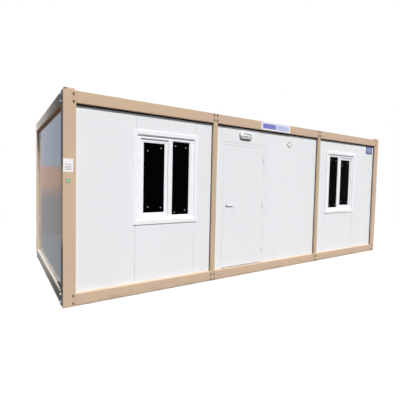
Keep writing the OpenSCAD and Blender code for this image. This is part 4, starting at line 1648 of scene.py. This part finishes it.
SIGN_X = (-0.318, 0.414)
SIGN_MARGIN = 0.003
SIGN_BARS = {"sign_bar": (0.06, 0.48), "sign_pale": (0.50, 0.94)}
SIGN_BAR_Z = (0.20, 0.78)
LOZENGE_MIDDLE = (0.451, 2.2835)
LOZENGE_HALF = (0.070, 0.056)
LOZENGE_RIM = 0.018
LOZENGE_ROUND = 0.006
BLUE_SIZE = (0.255, 0.184)
BLUE_FROM_POST = 0.050
BLUE_DROP = 0.019
BLUE_INSET = 0.040
RULE_LEVELS = (0.16, 0.28, 0.40, 0.56)
RULE_TALL = 0.006
RULE_IN = 0.020
PAPER_X = (0.004, 0.118)
PAPER_Z = (1.651, 1.810)
DISC_PLACE = (0.056, 1.545)
DISC_ROUND = 0.025
DISC_RIM = 0.008
DISC_EDGE = (0.95, 0.7)
DISC_SIDES = 40
PLATE_ROUND_SHARE = 0.45
PLATE_SHARES = {
    "sign": 2.0, "sign_bar": 0.4, "lozenge_rim": 2.0, "lozenge_face": 3.0, "blue_panel": 1.4,
    "paper": 0.6, "rule": 0.3, "disc_pale": 1.5,
}


def flat_plate(low_x, high_x, low_z, high_z, face, thick):
    """Thin plate with eased corners on a face that looks to the front."""
    low = (low_x, face - thick, low_z)
    high = (high_x, face + SINK, high_z)
    return rounded_box(low, high, thick * PLATE_ROUND_SHARE)


def lozenge(half_x, half_z, face, thick):
    """Diamond-shaped plate on a face that looks to the front: an outline of four points with eased
    corners."""
    middle = np.array(LOZENGE_MIDDLE)
    points = middle + np.array([(-half_x, 0), (0, -half_z), (half_x, 0), (0, half_z)])
    outline, _ = filleted(points, LOZENGE_ROUND)
    return prism(outline, np.zeros(len(outline)), 1, face - thick, face + SINK)


def put_sign(thick):
    """Blank sign on the top rail with two plain bars, each across a share of its width."""
    rail_low, rail_high = corners_of("front_top_rail")
    sign_z = (rail_low[2] + SIGN_MARGIN, rail_high[2] - SIGN_MARGIN)
    sign_thick = thick * PLATE_SHARES["sign"]
    sign = flat_plate(*SIGN_X, *sign_z, rail_low[1], sign_thick)
    put("rail_sign_blank", sign, finish("sign_white"))
    bar_z = np.interp(SIGN_BAR_Z, (0, 1), sign_z)
    face = rail_low[1] - sign_thick
    for bar, shares in SIGN_BARS.items():
        bar_x = np.interp(shares, (0, 1), SIGN_X)
        band = flat_plate(*bar_x, *bar_z, face, thick * PLATE_SHARES["sign_bar"])
        put(f"rail_{bar}", band, finish(bar))


def put_wall_plates(thick):
    """Diamond plate with a grey rim and blue plate with a paler panel, on the walls of the middle and right
    bays."""
    wall_low, wall_high = corners_of("front_right_wall")
    face = wall_low[1]
    rim = lozenge(*LOZENGE_HALF, face, thick * PLATE_SHARES["lozenge_rim"])
    put("lozenge_rim", rim, finish("plate_grey"))
    inner = [half - LOZENGE_RIM for half in LOZENGE_HALF]
    middle = lozenge(*inner, face, thick * PLATE_SHARES["lozenge_face"])
    put("lozenge_face", middle, finish("window_white"))
    high_x = wall_high[0] - BLUE_FROM_POST
    high_z = wall_high[2] - BLUE_DROP
    blue_box = np.array([high_x - BLUE_SIZE[0], high_x, high_z - BLUE_SIZE[1], high_z])
    put("blue_plate_blank", flat_plate(*blue_box, face, thick), finish("plate_blue"))
    panel_box = blue_box + BLUE_INSET * np.array([1, -1, 1, -1])
    panel = flat_plate(*panel_box, face, thick * PLATE_SHARES["blue_panel"])
    put("blue_plate_panel", panel, finish("plate_pale"))


def put_post_labels(thick):
    """Paper label with plain rules and a round tag of two layers, on the left post."""
    post_low, _ = corners_of("front_left_post")
    face = post_low[1]
    paper_x = post_low[0] + np.array(PAPER_X)
    paper_thick = thick * PLATE_SHARES["paper"]
    paper = flat_plate(*paper_x, *PAPER_Z, face, paper_thick)
    put("paper_label_blank", paper, finish("label_paper"))
    rule_x = paper_x + RULE_IN * np.array([1, -1])
    rule_thick = thick * PLATE_SHARES["rule"]
    rules = [
        flat_plate(*rule_x, level, level + RULE_TALL, face - paper_thick, rule_thick)
        for level in np.interp(RULE_LEVELS, (0, 1), PAPER_Z)
    ]
    put("paper_label_rules", joined(*rules), finish("label_rule"))
    place = (post_low[0] + DISC_PLACE[0], face, DISC_PLACE[1])
    rim = chamfered_disc(DISC_ROUND, thick, DISC_EDGE, SINK, DISC_SIDES)
    put("round_tag_disc_green", moved(rim, place), finish("disc_green"))
    pale_thick = thick * PLATE_SHARES["disc_pale"]
    middle = chamfered_disc(DISC_ROUND - DISC_RIM, pale_thick, DISC_EDGE, SINK, DISC_SIDES)
    put("round_tag_disc_pale", moved(middle, place), finish("disc_pale"))


class CABIN_OT_plates(bpy.types.Operator):
    """Add the blank sign, the diamond plate, the blue plate, the paper label and the round tag"""

    bl_idname = "cabin.plates"
    bl_label = "Plates and Labels"

    def execute(self, context):
        thick = context.scene.cabin_sizes.plate_thick
        put_sign(thick)
        put_wall_plates(thick)
        put_post_labels(thick)
        return {"FINISHED"}


# Pads on the glass

PADS_ON_SASH = ((0.062, -0.112), (-0.055, -0.063), (0.071, 0.080), (-0.051, 0.063))
PADS_ON_LIGHT = ((0.047, -0.060), (-0.057, -0.076), (0.045, 0.034), (-0.060, 0.062))
PAD_THICK = 0.003
PAD_EDGE = (0.7, 0.5)
PAD_SIDES = 18


def pad_places(pane, insets):
    """Places on a pane: each inset is measured from the left and the bottom, or where it is negative from
    the right and the top."""
    insets = np.array(insets)
    low, high = (corner[[0, 2]] for corner in pane)
    return np.insert(np.where(insets > 0, low, high) + insets, 1, pane[0][1], axis=1)


class CABIN_OT_pads(bpy.types.Operator):
    """Add the small round pads near the corners of each pane"""

    bl_idname = "cabin.pads"
    bl_label = "Glass Pads"

    def execute(self, context):
        size = context.scene.cabin_sizes.pad_round
        pad = chamfered_disc(size, PAD_THICK, PAD_EDGE, SINK, PAD_SIDES)
        for side in WINDOWS:
            plan = WindowPlan(side)
            places = np.concatenate([
                pad_places(plan.sash_pane, PADS_ON_SASH), pad_places(plan.fixed_pane, PADS_ON_LIGHT),
            ])
            put(f"{side}_window_pads", repeated(pad, places), finish("pad_grey"))
        return {"FINISHED"}


# Stage

CAMERA_PLACE = (-4.158, -5.452, 1.573)
CAMERA_HEADING = radians(32.434)
CAMERA_PITCH = radians(-2.723)
CAMERA_ROLL = radians(1.18)
CAMERA_LENS = 27.99
CAMERA_SENSOR = 36.0
CAMERA_SHIFT = (0.01377, -0.01034)
CAMERA_LEVEL = radians(90)
WHITE = (1.0, 1.0, 1.0)
BLACK = (0.0, 0.0, 0.0)
COOL_LIGHT = (0.97, 0.98, 1.0)
WARM_LIGHT = (1.0, 0.98, 0.96)
KEY_LIGHT = (1.0, 0.992, 0.982)
SUNS = {
    "key": {"heading": -4.0, "height": 52.0, "strength": 4.0, "colour": KEY_LIGHT, "size": 4.0},
    "left_fill": {"heading": -100.0, "height": 20.0, "strength": 0.22, "colour": COOL_LIGHT, "size": 30.0},
    "right_fill": {"heading": 95.0, "height": 15.0, "strength": 1.3, "colour": WARM_LIGHT, "size": 30.0},
    "back_fill": {"heading": 170.0, "height": 18.0, "strength": 1.6, "colour": COOL_LIGHT, "size": 30.0},
}
SOFT_BOX = {
    "place": (-5.4, 3.8, 3.8), "target": (-3.5, 1.2, 1.7), "power": 44.0, "colour": (0.95, 0.97, 1.0),
    "size": 1.4, "spread": 110.0,
}
CARD_SIDES = (-6.5, -3.56)
CARD_DEPTH = (-1.6, 3.7)
CARD_LEVELS = (0.002, 5.0)
CARD_FOOT = (0.37, 0.39, 0.41)
CARD_BANDS = (
    ((0.02, 0.06), (0.32, 0.30, 0.31)),
    ((0.95, 1.50), (0.70, 0.41, 0.27)),
    ((1.81, 1.96), (0.46, 0.52, 0.64)),
)
AMBIENT = (0.055, 0.062, 0.075)
FLOOR_HALF = 80.0
CAMERA_REACH = 4 * FLOOR_HALF
FLOOR_LEVEL = -0.0005
FLOOR_PALE = (0.93, 0.93, 0.93)
FLOOR_BOUNCE = (0.17, 0.165, 0.16)
FLOOR_FADE = (5.0, 9.5)


def seen_directly(tree):
    """1 for what the camera sees directly, in a reflection or through glass, and 0 for light that falls on
    things."""
    path = tree.nodes.new("ShaderNodeLightPath")
    seen = path.outputs["Is Camera Ray"]
    for ray in ("Is Glossy Ray", "Is Transmission Ray"):
        either = tree.nodes.new("ShaderNodeMath")
        either.operation = "MAXIMUM"
        tree.links.new(seen, either.inputs[0])
        tree.links.new(path.outputs[ray], either.inputs[1])
        seen = either.outputs[0]
    return seen


def mixed_shader(tree, share, first, second):
    """Shader between two shaders."""
    mixer = tree.nodes.new("ShaderNodeMixShader")
    tree.links.new(share, mixer.inputs[0])
    tree.links.new(first, mixer.inputs[1])
    tree.links.new(second, mixer.inputs[2])
    return mixer.outputs[0]


def plain_shader(tree, kind, paint):
    """A shader of one colour for the stage."""
    shader = tree.nodes.new(kind)
    shader.inputs["Color"].default_value = (*paint, 1.0)
    return shader.outputs[0]


def studio_world():
    """White to look at, and a dim bluish sky for the light that it gives."""
    world = bpy.data.worlds.new("studio")
    world.use_nodes = True
    tree = world.node_tree
    tree.nodes.clear()
    dim = plain_shader(tree, "ShaderNodeBackground", AMBIENT)
    white = plain_shader(tree, "ShaderNodeBackground", WHITE)
    output = tree.nodes.new("ShaderNodeOutputWorld")
    tree.links.new(mixed_shader(tree, seen_directly(tree), dim, white), output.inputs["Surface"])
    return world


def floor_material():
    """Pale floor that takes the shadow near the cabin, fades to white further out and throws little light
    back."""
    material = bpy.data.materials.new("stage_floor")
    material.use_nodes = True
    tree = material.node_tree
    tree.nodes.clear()
    place = tree.nodes.new("ShaderNodeTexCoord")
    distance = tree.nodes.new("ShaderNodeVectorMath")
    distance.operation = "LENGTH"
    tree.links.new(place.outputs["Object"], distance.inputs[0])
    fade = tree.nodes.new("ShaderNodeMapRange")
    fade.interpolation_type = "SMOOTHSTEP"
    fade.inputs["From Min"].default_value = FLOOR_FADE[0]
    fade.inputs["From Max"].default_value = FLOOR_FADE[1]
    tree.links.new(distance.outputs["Value"], fade.inputs["Value"])
    pale = plain_shader(tree, "ShaderNodeBsdfDiffuse", FLOOR_PALE)
    white = plain_shader(tree, "ShaderNodeEmission", WHITE)
    bounce = plain_shader(tree, "ShaderNodeBsdfDiffuse", FLOOR_BOUNCE)
    looks = mixed_shader(tree, fade.outputs["Result"], pale, white)
    output = tree.nodes.new("ShaderNodeOutputMaterial")
    tree.links.new(mixed_shader(tree, seen_directly(tree), bounce, looks), output.inputs["Surface"])
    return material


def add_sun(name, heading, height, strength, colour, size):
    """Sun lamp: heading is measured from the front to the right, height from the horizon and size across
    its disc, all in degrees."""
    lamp = bpy.data.lights.new(f"{name}_sun", "SUN")
    lamp.energy = strength
    lamp.color = colour
    lamp.angle = radians(size)
    sun = bpy.data.objects.new(f"{name}_sun", lamp)
    turn = radians(heading)
    rise = radians(height)
    towards = Vector((np.cos(rise) * np.sin(turn), -np.cos(rise) * np.cos(turn), np.sin(rise)))
    sun.rotation_euler = towards.to_track_quat("Z", "Y").to_euler()
    bpy.context.scene.collection.objects.link(sun)


def add_soft_box(place, target, power, colour, size, spread):
    """Square soft box that looks from its place to its target and doesn't show itself; its spread is in
    degrees."""
    lamp = bpy.data.lights.new("left_soft_box", "AREA")
    lamp.energy = power
    lamp.color = colour
    lamp.size = size
    lamp.spread = radians(spread)
    box = bpy.data.objects.new("left_soft_box", lamp)
    away = Vector(place) - Vector(target)
    box.matrix_world = Matrix.Translation(place) @ away.to_track_quat("Z", "Y").to_matrix().to_4x4()
    box.visible_camera = False
    box.visible_glossy = False
    bpy.context.scene.collection.objects.link(box)


def card_material():
    """Light of the studio card: grey on its foot, dull low down, warm at eye height and cool above."""
    card = Finish("stage_card", roughness=1.0, specular=0.0)
    glow = CARD_FOOT
    for rise, paint in CARD_BANDS:
        glow = card.mix(card.spread(card.along("Z"), *rise), glow, paint)
    card.drive("Base Color", BLACK)
    card.drive("Emission Color", glow)
    card.drive("Emission Strength", 1.0)
    return card.material


def add_stage_sheet(name, corners, faces, material):
    """Sheet of the stage from its corners and faces."""
    mesh = bpy.data.meshes.new(name)
    mesh.from_pydata(corners, [], faces)
    mesh.materials.append(material)
    sheet = bpy.data.objects.new(name, mesh)
    bpy.context.scene.collection.objects.link(sheet)
    return sheet


def add_card():
    """Card bent into a foot and an upright beside the left end, which shows only in what is glossy and
    neither lights nor shades anything."""
    near, far = CARD_DEPTH
    foot, top = CARD_LEVELS
    fold = ((near, foot), (far, foot), (far, top))
    corners = [(x, y, z) for y, z in fold for x in CARD_SIDES]
    card = add_stage_sheet("stage_card", corners, [(0, 1, 3, 2), (2, 3, 5, 4)], card_material())
    card.visible_camera = False
    card.visible_diffuse = False
    card.visible_transmission = False
    card.visible_shadow = False


def add_camera(scene):
    """Camera at the photograph's place: turned by its heading, then its pitch, then its roll."""
    lens = bpy.data.cameras.new("view")
    lens.lens = CAMERA_LENS
    lens.sensor_width = CAMERA_SENSOR
    lens.shift_x, lens.shift_y = CAMERA_SHIFT
    lens.clip_end = CAMERA_REACH
    camera = bpy.data.objects.new("view", lens)
    turn = Matrix.Rotation(-CAMERA_HEADING, 4, "Z")
    tilt = Matrix.Rotation(CAMERA_LEVEL + CAMERA_PITCH, 4, "X")
    roll = Matrix.Rotation(CAMERA_ROLL, 4, "Z")
    camera.matrix_world = Matrix.Translation(CAMERA_PLACE) @ turn @ tilt @ roll
    scene.collection.objects.link(camera)
    scene.camera = camera


class CABIN_OT_stage(bpy.types.Operator):
    """Set the camera, the suns, the soft box, the mirrored card, the white surround and the pale floor"""

    bl_idname = "cabin.stage"
    bl_label = "Stage"

    def execute(self, context):
        scene = context.scene
        scene.view_settings.view_transform = "Standard"
        scene.world = studio_world()
        for name, sun in SUNS.items():
            add_sun(name, **sun)
        add_soft_box(**SOFT_BOX)
        add_card()
        square = rectangle(-FLOOR_HALF, FLOOR_HALF, -FLOOR_HALF, FLOOR_HALF)
        corners = [(x, y, FLOOR_LEVEL) for x, y in square]
        add_stage_sheet("stage_floor", corners, [(0, 1, 2, 3)], floor_material())
        add_camera(scene)
        return {"FINISHED"}


OPERATORS = (
    CABIN_OT_stage, CABIN_OT_frame, CABIN_OT_walls, CABIN_OT_windows, CABIN_OT_door, CABIN_OT_lamp,
    CABIN_OT_decks, CABIN_OT_bolts, CABIN_OT_plates, CABIN_OT_pads,
)


class CABIN_PT_panel(bpy.types.Panel):
    """Sizes, colours and building steps of the cabin"""

    bl_idname = "CABIN_PT_panel"
    bl_label = "Portable Site Cabin"
    bl_space_type = "VIEW_3D"
    bl_region_type = "UI"
    bl_category = "Cabin"

    def draw(self, context):
        for group in (context.scene.cabin_sizes, context.scene.cabin_colours):
            column = self.layout.column()
            for name in group.__annotations__:
                column.prop(group, name)
        for operator in OPERATORS:
            self.layout.operator(operator.bl_idname)


CLASSES = (CabinSizes, CabinColours, *OPERATORS, CABIN_PT_panel)


def register():
    for made in CLASSES:
        bpy.utils.register_class(made)
    bpy.types.Scene.cabin_sizes = PointerProperty(type=CabinSizes)
    bpy.types.Scene.cabin_colours = PointerProperty(type=CabinColours)


def unregister():
    del bpy.types.Scene.cabin_colours
    del bpy.types.Scene.cabin_sizes
    for made in reversed(CLASSES):
        bpy.utils.unregister_class(made)


def main():
    register()
    bpy.ops.cabin.stage()
    bpy.ops.cabin.frame()
    bpy.ops.cabin.walls()
    bpy.ops.cabin.windows()
    bpy.ops.cabin.door()
    bpy.ops.cabin.lamp()
    bpy.ops.cabin.decks()
    bpy.ops.cabin.bolts()
    bpy.ops.cabin.plates()
    bpy.ops.cabin.pads()


if __name__ == "__main__":
    main()
